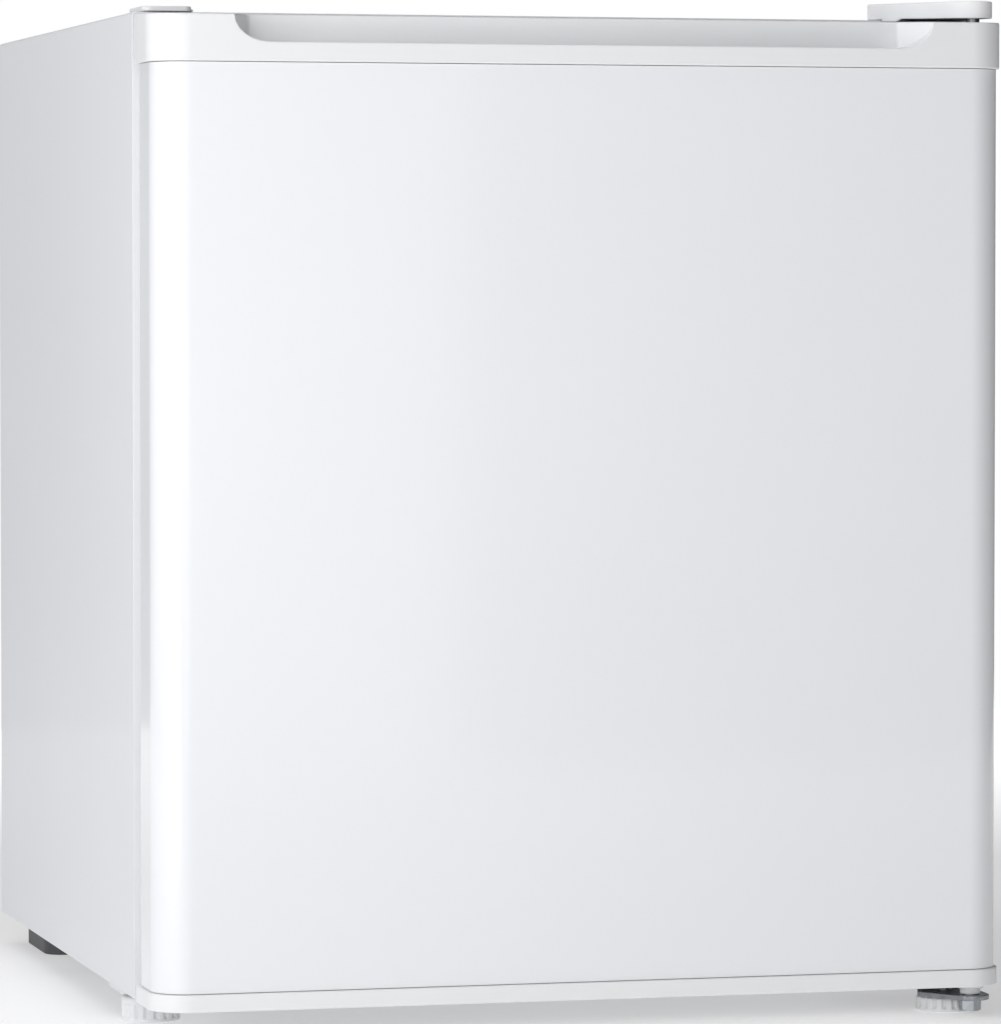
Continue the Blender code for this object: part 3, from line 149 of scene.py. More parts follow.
class Finish:
    """A Principled material whose grain, blotches and wear are procedural."""

    def __init__(self, name, colour, roughness, **sockets):
        self.material = bpy.data.materials.new(name)
        self.material.use_nodes = True
        self.tree = self.material.node_tree
        self.shader = self.tree.nodes["Principled BSDF"]
        self.colour = (*colour, 1)
        self.normal = None
        self.put(self.shader, Base_Color=self.colour, Roughness=roughness, **sockets)
        self.place = self.add("TexCoord").outputs["Object"]

    def put(self, node, **inputs):
        for name, value in inputs.items():
            socket = node.inputs[name.replace("_", " ")]
            if isinstance(value, bpy.types.NodeSocket):
                self.tree.links.new(value, socket)
            else:
                socket.default_value = value
        return node

    def add(self, kind, **inputs):
        return self.put(self.tree.nodes.new("ShaderNode" + kind), **inputs)

    def stretched(self, stretch):
        if stretch == (1, 1, 1):
            return self.place
        return self.add("Mapping", Vector=self.place, Scale=stretch).outputs[0]

    def noise(self, scale, detail=2, stretch=(1, 1, 1)):
        """Values around 0.5, with a given number of grains in a metre."""
        place = self.stretched(stretch)
        return self.add("TexNoise", Vector=place, Scale=scale, Detail=detail).outputs["Fac"]

    def cells(self, scale, output="Distance"):
        """Crystal-like cells: the distance from their middles, or a colour for each."""
        return self.add("TexVoronoi", Vector=self.place, Scale=scale).outputs[output]

    def between(self, value, low, high, to_low=0.0, to_high=1.0):
        limits = {"From_Min": low, "From_Max": high, "To_Min": to_low, "To_Max": to_high}
        return self.add("MapRange", Value=value, **limits).outputs[0]

    def times(self, a, b):
        node = self.add("Math")
        node.operation = "MULTIPLY"
        for socket, value in zip(node.inputs, (a, b)):
            if isinstance(value, bpy.types.NodeSocket):
                self.tree.links.new(value, socket)
            else:
                socket.default_value = value
        return node.outputs[0]

    def tint(self, amount, colour):
        """Lays a colour over the ones before it."""
        mix = self.add("MixRGB", Fac=amount, Color1=self.colour, Color2=(*colour, 1))
        self.colour = mix.outputs[0]
        self.put(self.shader, Base_Color=self.colour)

    def rough(self, value, low, high):
        self.put(self.shader, Roughness=self.between(value, 0.15, 0.85, low, high))

    def bump(self, height, depth):
        """Raises the surface by a depth where the height is one."""
        node = self.add("Bump", Height=height, Distance=depth, Strength=1.0)
        if self.normal:
            self.put(node, Normal=self.normal)
        self.normal = node.outputs[0]
        self.put(self.shader, Normal=self.normal)

    def edges(self, radius):
        """One at edges and in corners, zero on open surfaces."""
        bevel = self.add("Bevel", Radius=radius)
        bevel.samples = 4
        dot = self.add("VectorMath")
        dot.operation = "DOT_PRODUCT"
        self.tree.links.new(bevel.outputs[0], dot.inputs[0])
        self.tree.links.new(self.add("NewGeometry").outputs["Normal"], dot.inputs[1])
        return self.between(dot.outputs["Value"], 0.97, 0.75)

    def facing_up(self):
        """One on level tops, zero on walls and undersides."""
        split = self.add("SeparateXYZ", Vector=self.add("NewGeometry").outputs["Normal"])
        return self.between(split.outputs["Z"], 0.3, 1.0)


def painted(name, colour, roughness, coat, peel):
    """Stoved paint on sheet steel: orange peel, slight waviness and greyer edges."""
    look = Finish(name, colour, roughness, Coat_Weight=coat, Coat_Roughness=0.08)
    look.bump(look.noise(6, 1), 0.12 * MM)
    look.bump(look.noise(750, 2), peel)
    look.rough(look.noise(9, 3), roughness - 0.02, roughness + 0.08)
    look.tint(look.between(look.noise(4, 2), 0.2, 0.8), tuple(c * 0.98 for c in colour))
    look.tint(look.times(look.edges(0.5 * MM), 0.2), tuple(c * 0.9 for c in colour))
    return look


def moulded(name, colour, roughness, grain, waviness=0.0):
    """Moulded plastic: fine grain, uneven gloss, and greyer at its edges and corners."""
    look = Finish(name, colour, roughness)
    if waviness:
        look.bump(look.noise(28, 1), waviness)
    look.bump(look.noise(1900, 3), grain)
    look.rough(look.noise(60, 3), roughness - 0.02, roughness + 0.1)
    look.tint(look.between(look.noise(20, 3), 0.2, 0.8), tuple(c * 0.975 for c in colour))
    look.tint(look.times(look.edges(0.6 * MM), 0.25), tuple(c * 0.88 for c in colour))
    return look


# The base colour is darker than plated steel's own: a painted reflection of dark surroundings that
# this studio does not have.
def make_steel():
    look = Finish("steel", (0.34, 0.35, 0.37), 0.3, Metallic=1.0)
    look.tint(look.between(look.noise(90, 5), 0.4, 0.7), (0.22, 0.23, 0.25))
    look.tint(look.between(look.noise(35, 3), 0.55, 0.75, 0, 0.35), (0.40, 0.36, 0.27))
    look.tint(look.times(look.edges(0.4 * MM), 0.6), (0.70, 0.71, 0.73))
    look.rough(look.noise(180, 4), 0.15, 0.5)
    look.bump(look.noise(600, 3, (1, 0.06, 1)), 0.02 * MM)
    return look


def make_galvanised():
    look = Finish("galvanised", (0.52, 0.54, 0.56), 0.4, Metallic=0.9)
    spangle = look.add("SeparateColor", Color=look.cells(150, "Color")).outputs[0]
    look.tint(look.between(spangle, 0, 1, 0, 0.6), (0.38, 0.40, 0.42))
    look.tint(look.between(look.noise(25, 5), 0.55, 0.8, 0, 0.5), (0.60, 0.60, 0.60))
    look.put(look.shader, Roughness=look.between(spangle, 0, 1, 0.3, 0.55))
    look.bump(look.cells(150), 0.04 * MM)
    look.bump(look.noise(500, 3), 0.01 * MM)
    return look


def make_aluminium():
    look = Finish("aluminium", (0.78, 0.79, 0.80), 0.35, Metallic=1.0)
    look.tint(look.between(look.noise(40, 5), 0.45, 0.75), (0.66, 0.67, 0.69))
    look.rough(look.noise(300, 4, (1, 0.05, 1)), 0.28, 0.48)
    look.bump(look.noise(500, 3, (1, 0.04, 1)), 0.02 * MM)
    return look


def make_copper():
    look = Finish("copper", (0.75, 0.42, 0.27), 0.3, Metallic=1.0)
    look.tint(look.between(look.noise(120, 5), 0.45, 0.7), (0.42, 0.20, 0.12))
    look.tint(look.between(look.noise(45, 3), 0.6, 0.75, 0, 0.5), (0.30, 0.24, 0.20))
    look.rough(look.noise(200, 4), 0.22, 0.5)
    look.bump(look.noise(900, 3, (1, 1, 0.2)), 0.01 * MM)
    return look


def make_black_paint():
    look = Finish("black_paint", (0.018, 0.018, 0.02), 0.4, Coat_Weight=0.2, Coat_Roughness=0.2)
    look.bump(look.noise(420, 3), 0.03 * MM)
    look.rough(look.noise(30, 4), 0.32, 0.55)
    dust = look.times(look.facing_up(), look.between(look.noise(70, 5), 0.35, 0.75))
    look.tint(look.times(dust, 0.5), (0.22, 0.21, 0.19))
    look.tint(look.times(look.edges(0.8 * MM), 0.4), (0.09, 0.09, 0.09))
    return look


def make_foam():
    look = Finish("foam", (0.85, 0.77, 0.53), 0.9)
    look.bump(look.cells(700), 0.4 * MM)
    look.tint(look.between(look.noise(60, 4), 0.45, 0.7), (0.72, 0.60, 0.36))
    return look


def make_rubber():
    look = Finish("rubber", (0.028, 0.028, 0.03), 0.7)
    look.bump(look.noise(800, 3), 0.03 * MM)
    look.tint(look.between(look.noise(120, 5), 0.5, 0.75, 0, 0.6), (0.10, 0.10, 0.10))
    look.rough(look.noise(150, 3), 0.62, 0.85)
    return look


def make_gasket_vinyl():
    look = Finish("gasket", (0.93, 0.935, 0.94), 0.5, Sheen_Weight=0.15, Sheen_Roughness=0.4)
    look.bump(look.noise(900, 2), 0.012 * MM)
    look.rough(look.noise(80, 3), 0.42, 0.6)
    look.tint(look.times(look.edges(0.5 * MM), 0.3), (0.70, 0.70, 0.69))
    return look


def see_through(name, colour, roughness, ior, haze):
    """Clear sheet that is a little wavy, with patches of haze."""
    look = Finish(name, colour, roughness, Transmission_Weight=1.0, IOR=ior)
    look.bump(look.noise(22, 1), 0.03 * MM)
    look.bump(look.noise(700, 2), 0.002 * MM)
    look.rough(look.noise(50, 5), roughness, haze)
    look.tint(look.between(look.noise(30, 3), 0.4, 0.8), tuple(c * 0.97 for c in colour))
    return look


def make_finishes():
    """A finish for each of the record's slots. Whites stay duller than a roughness of 0.28."""
    return {
        # The side paint's colour is a little darker than the door paint's: painted shade, for the
        # same white on the side that faces away from the lamps.
        "side_paint": painted("side_paint", (0.79, 0.80, 0.82), 0.46, 0.06, 0.007 * MM),
        "door_paint": painted("door_paint", (0.86, 0.865, 0.885), 0.31, 0.5, 0.005 * MM),
        "white_plastic": moulded("white_plastic", (0.85, 0.855, 0.865), 0.31, 0.006 * MM),
        "liner_plastic": moulded("liner_plastic", (0.88, 0.89, 0.90), 0.32, 0.004 * MM, 0.15 * MM),
        "gasket": make_gasket_vinyl(),
        "foam": make_foam(),
        "steel": make_steel(),
        "galvanised": make_galvanised(),
        "aluminium": make_aluminium(),
        "copper": make_copper(),
        "black_paint": make_black_paint(),
        "dark_plastic": moulded("dark_plastic", (0.075, 0.076, 0.08), 0.5, 0.02 * MM),
        "rubber": make_rubber(),
        "clear_plastic": see_through("clear_plastic", (0.91, 0.95, 0.97), 0.05, 1.58, 0.12),
        "glass": see_through("glass", (0.86, 0.95, 0.92), 0.02, 1.52, 0.05),
    }


# ------------------------------------------------------------------- shapes

AXES = {  # a point from its place across the axis and its distance along it
    "Y": lambda u, v, w: (u, w, v),
    "Z": lambda u, v, w: (u, v, w),
}


def clamp(value):
    return min(max(value, 0), 1)


def centre_of(low, high, plane="xy"):
    """The middle of a box in one of its planes."""
    return tuple((getattr(low, axis) + getattr(high, axis)) / 2 for axis in plane)


def rectangle(centre, half_width, half_height):
    """Four corners round a centre, anticlockwise."""
    return [(centre[0] + a * half_width, centre[1] + b * half_height) for a, b in SQUARE]


def rounded_line(corners, radii, steps=6, closed=False):
    """A line of corners, each turned at its own radius."""
    corners = [Vector((*c, 0)) if len(c) == 2 else Vector(c) for c in corners]
    count = len(corners)
    if not hasattr(radii, "__len__"):
        radii = [radii] * count
    path = []
    for i, (here, radius) in enumerate(zip(corners, radii)):
        if not radius or (not closed and i in (0, count - 1)):
            path.append(here)
            continue
        into = (here - corners[i - 1]).normalized()
        out = (corners[(i + 1) % count] - here).normalized()
        angle = into.angle(out)
        if angle < 0.01:
            path.append(here)
            continue
        start = here - into * radius * tan(angle / 2)
        centre = here + (out - into).normalized() * radius / cos(angle / 2)
        for k in range(steps + 1):
            turn = Matrix.Rotation(angle * k / steps, 3, into.cross(out))
            path.append(centre + turn @ (start - centre))
    return path


def outline(corners, radii, steps=6):
    """A closed flat line with rounded corners."""
    return [p.xy for p in rounded_line(corners, radii, steps, closed=True)]


def skin_between(rings, shape, wrap=True):
    """Quads between rows of vertices, each row closed into a ring."""
    for lower, upper in zip(rings, rings[1:]):
        for i in range(0 if wrap else 1, len(lower)):
            corners = list(dict.fromkeys((lower[i - 1], lower[i], upper[i], upper[i - 1])))
            if len(corners) > 2:
                shape.faces.new(corners)


def loft(sections, axis="Z"):
    """A solid through outlines of equal length, each with its place along the axis."""
    shape = bmesh.new()
    rings = []
    for points, along in sections:
        rings.append([shape.verts.new(AXES[axis](u, v, along)) for u, v in points])
    shape.faces.new(rings[0][::-1])
    shape.faces.new(rings[-1])
    skin_between(rings, shape)
    bmesh.ops.recalc_face_normals(shape, faces=shape.faces)
    return shape


def prism(points, low, high, axis="Z"):
    return loft([(points, low), (points, high)], axis)


def turned(profile, centre, axis="Z", steps=64, change=None):
    """A solid of revolution from (radius, height) points, each of which can be changed by angle."""
    shape = bmesh.new()
    rings = []
    for r, h in profile:
        if r == 0:
            height = change(0, 0, h)[1] if change else h
            rings.append([shape.verts.new(AXES[axis](*centre, height))] * steps)
            continue
        ring = []
        for i in range(steps):
            angle = 2 * pi * i / steps
            radius, height = change(angle, r, h) if change else (r, h)
            u = centre[0] + radius * cos(angle)
            v = centre[1] + radius * sin(angle)
            ring.append(shape.verts.new(AXES[axis](u, v, height)))
        rings.append(ring)
    if profile[0][0] > 0:
        rings.append(rings[0])
    skin_between(rings, shape)
    bmesh.ops.recalc_face_normals(shape, faces=shape.faces)
    return shape


def rounded_profile(points, radius, steps=4):
    """A profile for a turned piece, with its inner corners rounded."""
    return [(p.x, p.y) for p in rounded_line(points, radius, steps)]


def pipe(points, radius, sides):
    """A round tube along a line of points, with flat ends."""
    shape = bmesh.new()
    side = None
    rings = []
    for i, here in enumerate(points):
        along = (points[min(i + 1, len(points) - 1)] - points[max(i - 1, 0)]).normalized()
        if side is None:
            side = along.orthogonal().normalized()
        side = (side - along * side.dot(along)).normalized()
        other = along.cross(side)
        ring = []
        for k in range(sides):
            angle = 2 * pi * k / sides
            ring.append(shape.verts.new(here + radius * (side * cos(angle) + other * sin(angle))))
        rings.append(ring)
    shape.faces.new(rings[0][::-1])
    shape.faces.new(rings[-1])
    skin_between(rings, shape)
    bmesh.ops.recalc_face_normals(shape, faces=shape.faces)
    return shape


def merged(*shapes):
    """One shape that holds them all, each still a body of its own."""
    mesh = bpy.data.meshes.new("merge")
    whole = bmesh.new()
    for shape in shapes:
        shape.to_mesh(mesh)
        shape.free()
        whole.from_mesh(mesh)
    bpy.data.meshes.remove(mesh)
    return whole


def bevelled(shape, width):
    """Rounds the shape's sharp edges."""
    verts, edges = shape.verts, shape.edges
    bmesh.ops.dissolve_limit(shape, angle_limit=radians(0.5), verts=verts, edges=edges)
    shape.normal_update()
    sharp = [e for e in edges if len(e.link_faces) == 2 and e.calc_face_angle() > radians(30)]
    options = {"segments": 3, "profile": 0.5, "affect": "EDGES", "clamp_overlap": False}
    bmesh.ops.bevel(shape, geom=sharp, offset=width, **options)
    return shape


# ------------------------------------------------------------------- pieces


def show(name, shape, like, replaces=(), slot=None, sharp=40):
    """A piece that rides with a CAD node, and that may stand for nodes."""
    mesh = bpy.data.meshes.new(name)
    shape.to_mesh(mesh)
    shape.free()
    mesh.shade_smooth()
    mesh.set_sharp_from_angle(angle=radians(sharp))
    obj = bpy.data.objects.new(name, mesh)
    SCENE.collection.objects.link(obj)
    slot = slot or SLOT_OF[like]
    mesh.materials.append(FINISHES[slot].material)
    obj.modifiers.new("normals", "WEIGHTED_NORMAL").keep_sharp = True
    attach(obj, BODY_OF[like])
    if replaces:
        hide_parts(*replaces)


def stand_in(name, shape, node, **options):
    """A detailed piece that takes a CAD node's place."""
    show(name, shape, node, replaces=(node,), **options)


def refine(node, width):
    """Rounds a CAD node's edges with modifiers, which leave its own mesh as it is."""
    obj = frame["nodes"][node]
    obj.modifiers.new("weld", "WELD").merge_threshold = 2e-6
    flat = obj.modifiers.new("flat", "DECIMATE")
    flat.decimate_type = "DISSOLVE"
    flat.angle_limit = radians(0.3)
    bevel = obj.modifiers.new("round", "BEVEL")
    bevel.width = width
    bevel.segments = 3
    bevel.limit_method = "ANGLE"
    bevel.angle_limit = radians(32)
    bevel.use_clamp_overlap = False
    obj.modifiers.new("normals", "WEIGHTED_NORMAL")


def cross_recess(depth):
    """Sinks a cross with soft walls into a screw's head."""
    arm, reach, wall = 0.5 * MM, 2.0 * MM, 0.25 * MM

    def change(angle, radius, height):
        x, y = abs(radius * cos(angle)), abs(radius * sin(angle))
        inside = clamp((arm + wall - min(x, y)) / wall)
        inside *= clamp((reach + wall - max(x, y)) / wall)
        return radius, height - depth * inside

    return change


def screw_head(centre, seat, radius, height, axis="Z"):
    """A pan head with a cross recess. A negative height points it down."""
    dome = [(radius * cos(radians(a)), seat + height * sin(radians(a))) for a in range(0, 90, 6)]
    profile = [(0, seat), *dome, (0, seat + height)]
    return turned(profile, centre, axis, 72, cross_recess(height * 0.75))


# --------------------------------------------------------------------- door

DOOR_SHEET = 0.8 * MM
DOOR_CORNER = 18 * MM
DOOR_LIP = 12 * MM  # how far the sheet folds in behind the door's sides

GASKET_SECTION = (  # (distance in from the edge, distance from the door), in millimetres
    (0.4, 0.0), (0.0, 0.5), (0.0, 1.7), (0.6, 2.3), (2.6, 2.4), (3.5, 2.9), (2.1, 3.5),
    (1.6, 4.1), (1.6, 6.0), (2.2, 6.7), (3.2, 6.9), (12.4, 6.9), (13.4, 6.7), (13.9, 6.0),
    (13.9, 4.1), (13.3, 3.5), (12.2, 2.9), (13.1, 2.4), (15.9, 2.3), (16.5, 1.7), (16.5, 0.4),
    (16.1, 0.0),
)


def make_door_panel():
    """The folded steel front, with its upright corners smoothly rounded."""
    low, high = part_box("door_skin")

    def fold(inset, corner, hem):
        left, right = low.x + inset, high.x - inset
        front, back = low.y + inset, high.y - inset
        corners = [
            (low.x + DOOR_LIP, back), (left, back), (left, front),
            (right, front), (right, back), (high.x - DOOR_LIP, back),
        ]
        return [p.xy for p in rounded_line(corners, (0, hem, corner, corner, hem, 0), 24)]

    outside = fold(0, DOOR_CORNER, 1.2 * MM)
    inside = fold(DOOR_SHEET, DOOR_CORNER - DOOR_SHEET, 0.5 * MM)
    stand_in("door_panel", prism(outside + inside[::-1], low.z, high.z), "door_skin")


def make_gasket():
    """Magnetic gasket: a mitred frame with a foot, a bellows and a magnet pocket."""
    low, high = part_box("door_gasket")
    scale = (high.y - low.y) / max(reach for _, reach in GASKET_SECTION)
    shape = bmesh.new()
    rings = []
    for side, up in (*SQUARE, SQUARE[0]):
        ring = []
        for inset, reach in GASKET_SECTION:
            x = (high.x - inset * MM) * side
            z = low.z + inset * MM if up < 0 else high.z - inset * MM
            ring.append(shape.verts.new((x, low.y + reach * scale, z)))
        rings.append(ring)
    skin_between(rings, shape)
    bmesh.ops.remove_doubles(shape, verts=shape.verts, dist=1e-7)
    bmesh.ops.recalc_face_normals(shape, faces=shape.faces)
    stand_in("gasket", shape, "door_gasket", sharp=60)


# ------------------------------------------------------- lower hinge and feet

KNOB_LOBES = 18
KNOB_SAMPLES = 14  # vertices round each lobe
KNOB_GROOVE = 1.5 * MM
KNOB_EDGE = 1.2 * MM
THREAD_PITCH = 1.25 * MM
THREAD_DEPTH = 0.65 * MM
SHANK_RADIUS = 3.5 * MM


def make_knob(side):
    """A levelling knob: U-shaped grooves between broad lobes, above a plain base rim."""
    node = "foot_knob_" + side
    low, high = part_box(node)
    radius = (high.x - low.x) / 2
    wall = radius - 0.1 * MM
    top = high.z

    def groove(angle, r, height):
        part = (angle * KNOB_LOBES / (2 * pi)) % 1
        across = max(1 - abs(part - 0.5) / 0.22, 0)
        rise = clamp((height - 1.8 * MM) / (1.4 * MM))
        fade = clamp((9.2 * MM - height) / (1.0 * MM))
        return r - KNOB_GROOVE * (across * (2 - across) * rise * fade) ** 0.5, height

    profile = [
        (0, 0), (radius - 1.2 * MM, 0), (radius - 0.5 * MM, 0.15 * MM), (radius, 0.6 * MM),
        (radius, 1.4 * MM), (wall, 1.7 * MM),
    ]
    rows = int((top - 3.2 * MM) / (0.25 * MM))
    profile += [(wall, (1.8 + 0.25 * i) * MM) for i in range(rows)]
    for a in range(0, 91, 15):
        inset, drop = 1 - cos(radians(a)), 1 - sin(radians(a))
        profile.append((wall - KNOB_EDGE * inset, top - KNOB_EDGE * drop))
    profile += [(7.5 * MM, top), (7.0 * MM, top - 0.5 * MM), (4.6 * MM, top - 0.5 * MM)]
    profile += [(4.3 * MM, top - 0.8 * MM), (4.3 * MM, 3.0 * MM), (0, 3.0 * MM)]
    steps = KNOB_LOBES * KNOB_SAMPLES
    shape = turned(profile, centre_of(low, high), steps=steps, change=groove)
    stand_in("knob_" + side, shape, node, sharp=50)


def make_stud(side):
    """A threaded stud."""
    node = "foot_stud_" + side
    low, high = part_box(node)
    radius = (high.x - low.x) / 2
    row = THREAD_PITCH / 6

    def thread(angle, r, height):
        if r < radius * 0.9:
            return r, height
        part = (height / THREAD_PITCH - angle / (2 * pi)) % 1
        return r - THREAD_DEPTH * min(abs(part - 0.5) * 2.4, 1), height

    rows = int((high.z - low.z) / THREAD_PITCH * 6)
    profile = [(0, low.z), (radius * 0.75, low.z)]
    profile += [(radius, low.z + 0.3 * MM + i * row) for i in range(rows - 3)]
    profile += [(radius * 0.75, high.z), (0, high.z)]
    shape = turned(profile, centre_of(low, high), steps=36, change=thread)
    stand_in("stud_" + side, shape, node)


def hexagon_bolt(centre, across, low, high, point=-1):
    """A hexagon head whose outer face is chamfered. The point says which way the head looks."""
    flat = across / 2
    crown = flat * 0.95
    outer = low if point < 0 else high

    def change(angle, radius, height):
        if radius < crown * 0.99:
            return radius, height
        part = (angle + pi / 6) % (pi / 3) - pi / 6
        edge = flat / cos(part)
        if abs(height - outer) < 1e-6 and radius > crown * 1.01:
            return edge, outer - point * (edge - crown) * tan(radians(30))
        return min(radius, edge), height

    corners = [(flat * 1.2, low), (flat * 1.2, high)]
    corners.insert(0 if point < 0 else 2, (crown, outer))
    return turned([(0, low), *corners, (0, high)], centre, steps=96, change=change)


def make_hinge_bolt():
    """The hexagon head under the bracket and the shank that the door turns on."""
    low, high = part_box("lower_hinge_pin")
    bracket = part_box("lower_hinge_bracket")[0].z
    centre = centre_of(low, high)
    head = hexagon_bolt(centre, high.y - low.y, low.z, bracket - 0.3 * MM)
    foot = low.z + 2 * MM
    corners = [(0, foot), (SHANK_RADIUS, foot), (SHANK_RADIUS, high.z), (0, high.z)]
    shank = turned(rounded_profile(corners, 0.5 * MM), centre, steps=48)
    bolt = merged(head, shank)
    stand_in("hinge_bolt", bolt, "lower_hinge_pin", slot="galvanised", sharp=25)


def make_washer():
    """The flanged washer that the door rides on."""
    low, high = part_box("lower_hinge_washer")
    outer = (high.x - low.x) / 2
    bore, collar, disc = 3.8 * MM, 5.2 * MM, high.z - 3.4 * MM
    corners = [
        (bore, low.z), (collar, low.z), (collar, disc),
        (outer, disc), (outer, high.z), (bore, high.z),
    ]
    shape = turned(outline(corners, 0.5 * MM), centre_of(low, high), steps=72)
    stand_in("washer", shape, "lower_hinge_washer", sharp=60)


def make_bracket_screws():
    """Screws that hold the two brackets under the cabinet."""
    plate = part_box("foot_bracket_left")[0].z
    places = ((0.176, -0.150), (0.200, -0.130), (-0.174, -0.123))
    for i, place in enumerate(places):
        head = screw_head(place, plate, 3.9 * MM, -1.9 * MM)
        show(f"bracket_screw_{i + 1}", head, "lower_hinge_bracket")


# -------------------------------------------------------------------- back

FIELD_HEIGHTS = (0.225, 0.315, 0.405)  # middles of the panel's pressed fields
FIELD_HALF = (125 * MM, 18 * MM)
FIELD_RAMP = 8 * MM
FIELD_RISE = 1.0 * MM

PASSES = 11
PASS_SPACING = 27 * MM
PASS_HALF = 175 * MM
TUBE_END = 148 * MM
WIRE_PITCH = 6 * MM
BRACKET_X = 156 * MM
BRACKET_CLEARANCE = 5 * MM


def pressing(x, z):
    """How far the back panel stands out: flat fields with a smooth ramp round each."""
    best = 0
    for middle in FIELD_HEIGHTS:
        across = max(abs(x) - FIELD_HALF[0], 0)
        up = max(abs(z - middle) - FIELD_HALF[1], 0)
        best = max(best, 1 - min(hypot(across, up) / FIELD_RAMP, 1))
    return FIELD_RISE * best * best * (3 - 2 * best)


def make_back_panel():
    """Galvanised panel stiffened by shallow pressed fields with rounded corners."""
    low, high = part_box("back_panel")
    columns, rows = 140, 110
    shape = bmesh.new()
    grid = []
    for j in range(rows + 1):
        z = low.z + (high.z - low.z) * j / rows
        line = []
        for i in range(columns + 1):
            x = low.x + (high.x - low.x) * i / columns
            line.append(shape.verts.new((x, high.y + pressing(x, z), z)))
        grid.append(line)
    skin_between(grid, shape, wrap=False)
    rim = grid[0] + [line[-1] for line in grid[1:]]
    rim += grid[-1][-2::-1] + [line[0] for line in grid[-2:0:-1]]
    front = [shape.verts.new((v.co.x, low.y, v.co.z)) for v in rim]
    skin_between([rim, front], shape)
    shape.faces.new(front)
    bmesh.ops.recalc_face_normals(shape, faces=shape.faces)
    stand_in("rear_panel", shape, "back_panel")


def make_back_screws():
    """Screws through the shell's rear returns."""
    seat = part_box("outer_shell")[1].y
    places = [(side * 0.2135, z) for side in (-1, 1) for z in (0.19, 0.29, 0.39, 0.485)]
    places += [(x, 0.5015) for x in (-0.13, 0.0, 0.13)]
    for i, place in enumerate(places):
        head = screw_head(place, seat, 3.6 * MM, 1.8 * MM, "Y")
        show(f"back_screw_{i + 1}", head, "outer_shell", slot="steel")


def make_condenser():
    """A tube that runs to and fro, with fine wires welded across both its faces."""
    low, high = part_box("condenser_tube")
    y = (low.y + high.y) / 2
    radius = (high.y - low.y) / 2
    first = high.z - radius - PASS_SPACING * (PASSES - 1)
    corners = []
    for i in range(PASSES):
        start = PASS_HALF if i % 2 == 0 else -PASS_HALF
        z = first + i * PASS_SPACING
        corners += [(start, y, z), (-start, y, z)]
    outer = low.x + radius
    corners[-1] = (outer, y, z)
    corners.append((outer, y, TUBE_END))
    line = rounded_line(corners, PASS_SPACING / 2 - 0.2 * MM, 12)
    stand_in("condenser_pipe", pipe(line, radius, 20), "condenser_tube")
    make_condenser_grid(y, radius)


def make_condenser_grid(y, tube):
    """Two layers of upright wires that leave out the brackets' places."""
    low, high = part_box("condenser_wires")
    wire = (high.y - low.y) / 2
    reach = tube + wire - 0.1 * MM
    count = int((high.x - low.x) / WIRE_PITCH)
    wires = []
    for i in range(count + 1):
        x = (i - count / 2) * WIRE_PITCH
        if abs(abs(x) - BRACKET_X) < BRACKET_CLEARANCE + wire:
            continue
        for depth in (y - reach, y + reach):
            ends = [Vector((x, depth, low.z)), Vector((x, depth, high.z))]
            wires.append(pipe(ends, wire, 8))
    stand_in("condenser_grid", merged(*wires), "condenser_wires")


# --------------------------------------------------------------- compressor

POT = (0.070, 0.1455)  # the pot's middle, seen from above
POT_RADIUS = 54 * MM
BASE_HALF = (62 * MM, 46 * MM)
BASE_THICKNESS = 2.5 * MM
BOLT_REACH = (51 * MM, 36 * MM)


def compressor_pot(top):
    """Two deep-drawn shells that are welded together round the waist."""
    r = POT_RADIUS

    def weld(angle, radius, height):
        ripple = 0.25 * MM * sin(angle * 80) if 87.4 * MM < height < 90.6 * MM else 0
        return radius + ripple, height

    bowl = [
        (0, 34.5 * MM), (r - 12 * MM, 34.5 * MM), (r - 1 * MM, 48 * MM), (r, 62 * MM),
        (r, 86.6 * MM),
    ]
    seam = [
        (r + 1.0 * MM, 87.2 * MM), (r + 1.5 * MM, 88 * MM), (r + 1.6 * MM, 89 * MM),
        (r + 1.5 * MM, 90 * MM), (r + 1.0 * MM, 90.8 * MM), (r, 91.4 * MM),
    ]
    lid = [
        (r, 91.4 * MM), (r - 1 * MM, 112 * MM), (r - 10 * MM, 138 * MM),
        (r - 30 * MM, 147.5 * MM), (0, top),
    ]
    profile = rounded_profile(bowl, 7 * MM, 8) + seam + rounded_profile(lid, 9 * MM, 8)
    return turned(profile, POT, steps=160, change=weld)


def grommet(place, foot, top):
    """A rubber foot with a waist."""
    waist = (foot + top) / 2 + 2 * MM
    wide, narrow = 8 * MM, 6.2 * MM
    profile = [
        (0, foot), (wide, foot), (wide, foot + 3 * MM), (narrow, waist),
        (narrow, waist + 1 * MM), (wide, top - 1.5 * MM), (wide, top), (0, top),
    ]
    return turned(rounded_profile(profile, 0.7 * MM), place, steps=48)


def base_bolt(place, seat):
    """A hexagon bolt on its washer."""
    radius, top = 5.5 * MM, seat + 1 * MM
    profile = [(0, seat), (radius, seat), (radius, top), (0, top)]
    washer = turned(rounded_profile(profile, 0.3 * MM), place, steps=40)
    return merged(washer, hexagon_bolt(place, 7 * MM, top, seat + 5 * MM, point=1))


def make_compressor():
    """A pot on a base plate, which is bolted down through four grommets."""
    low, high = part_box("compressor")
    seat = low.z + BASE_THICKNESS
    plan = outline(rectangle(POT, *BASE_HALF), 10 * MM)
    base = bevelled(prism(plan, low.z, seat), 0.4 * MM)
    stand_in("compressor_pot", merged(compressor_pot(high.z), base), "compressor")
    for i, (a, b) in enumerate(((-1, -1), (1, -1), (-1, 1), (1, 1)), 1):
        place = (POT[0] + a * BOLT_REACH[0], POT[1] + b * BOLT_REACH[1])
        node = f"compressor_grommet_{i}"
        foot, top = (corner.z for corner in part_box(node))
        stand_in(f"grommet_{i}", grommet(place, foot, top), node)
        show(f"compressor_bolt_{i}", base_bolt(place, seat), "compressor", slot="steel")
    make_process_tube()
    make_cover_clip()


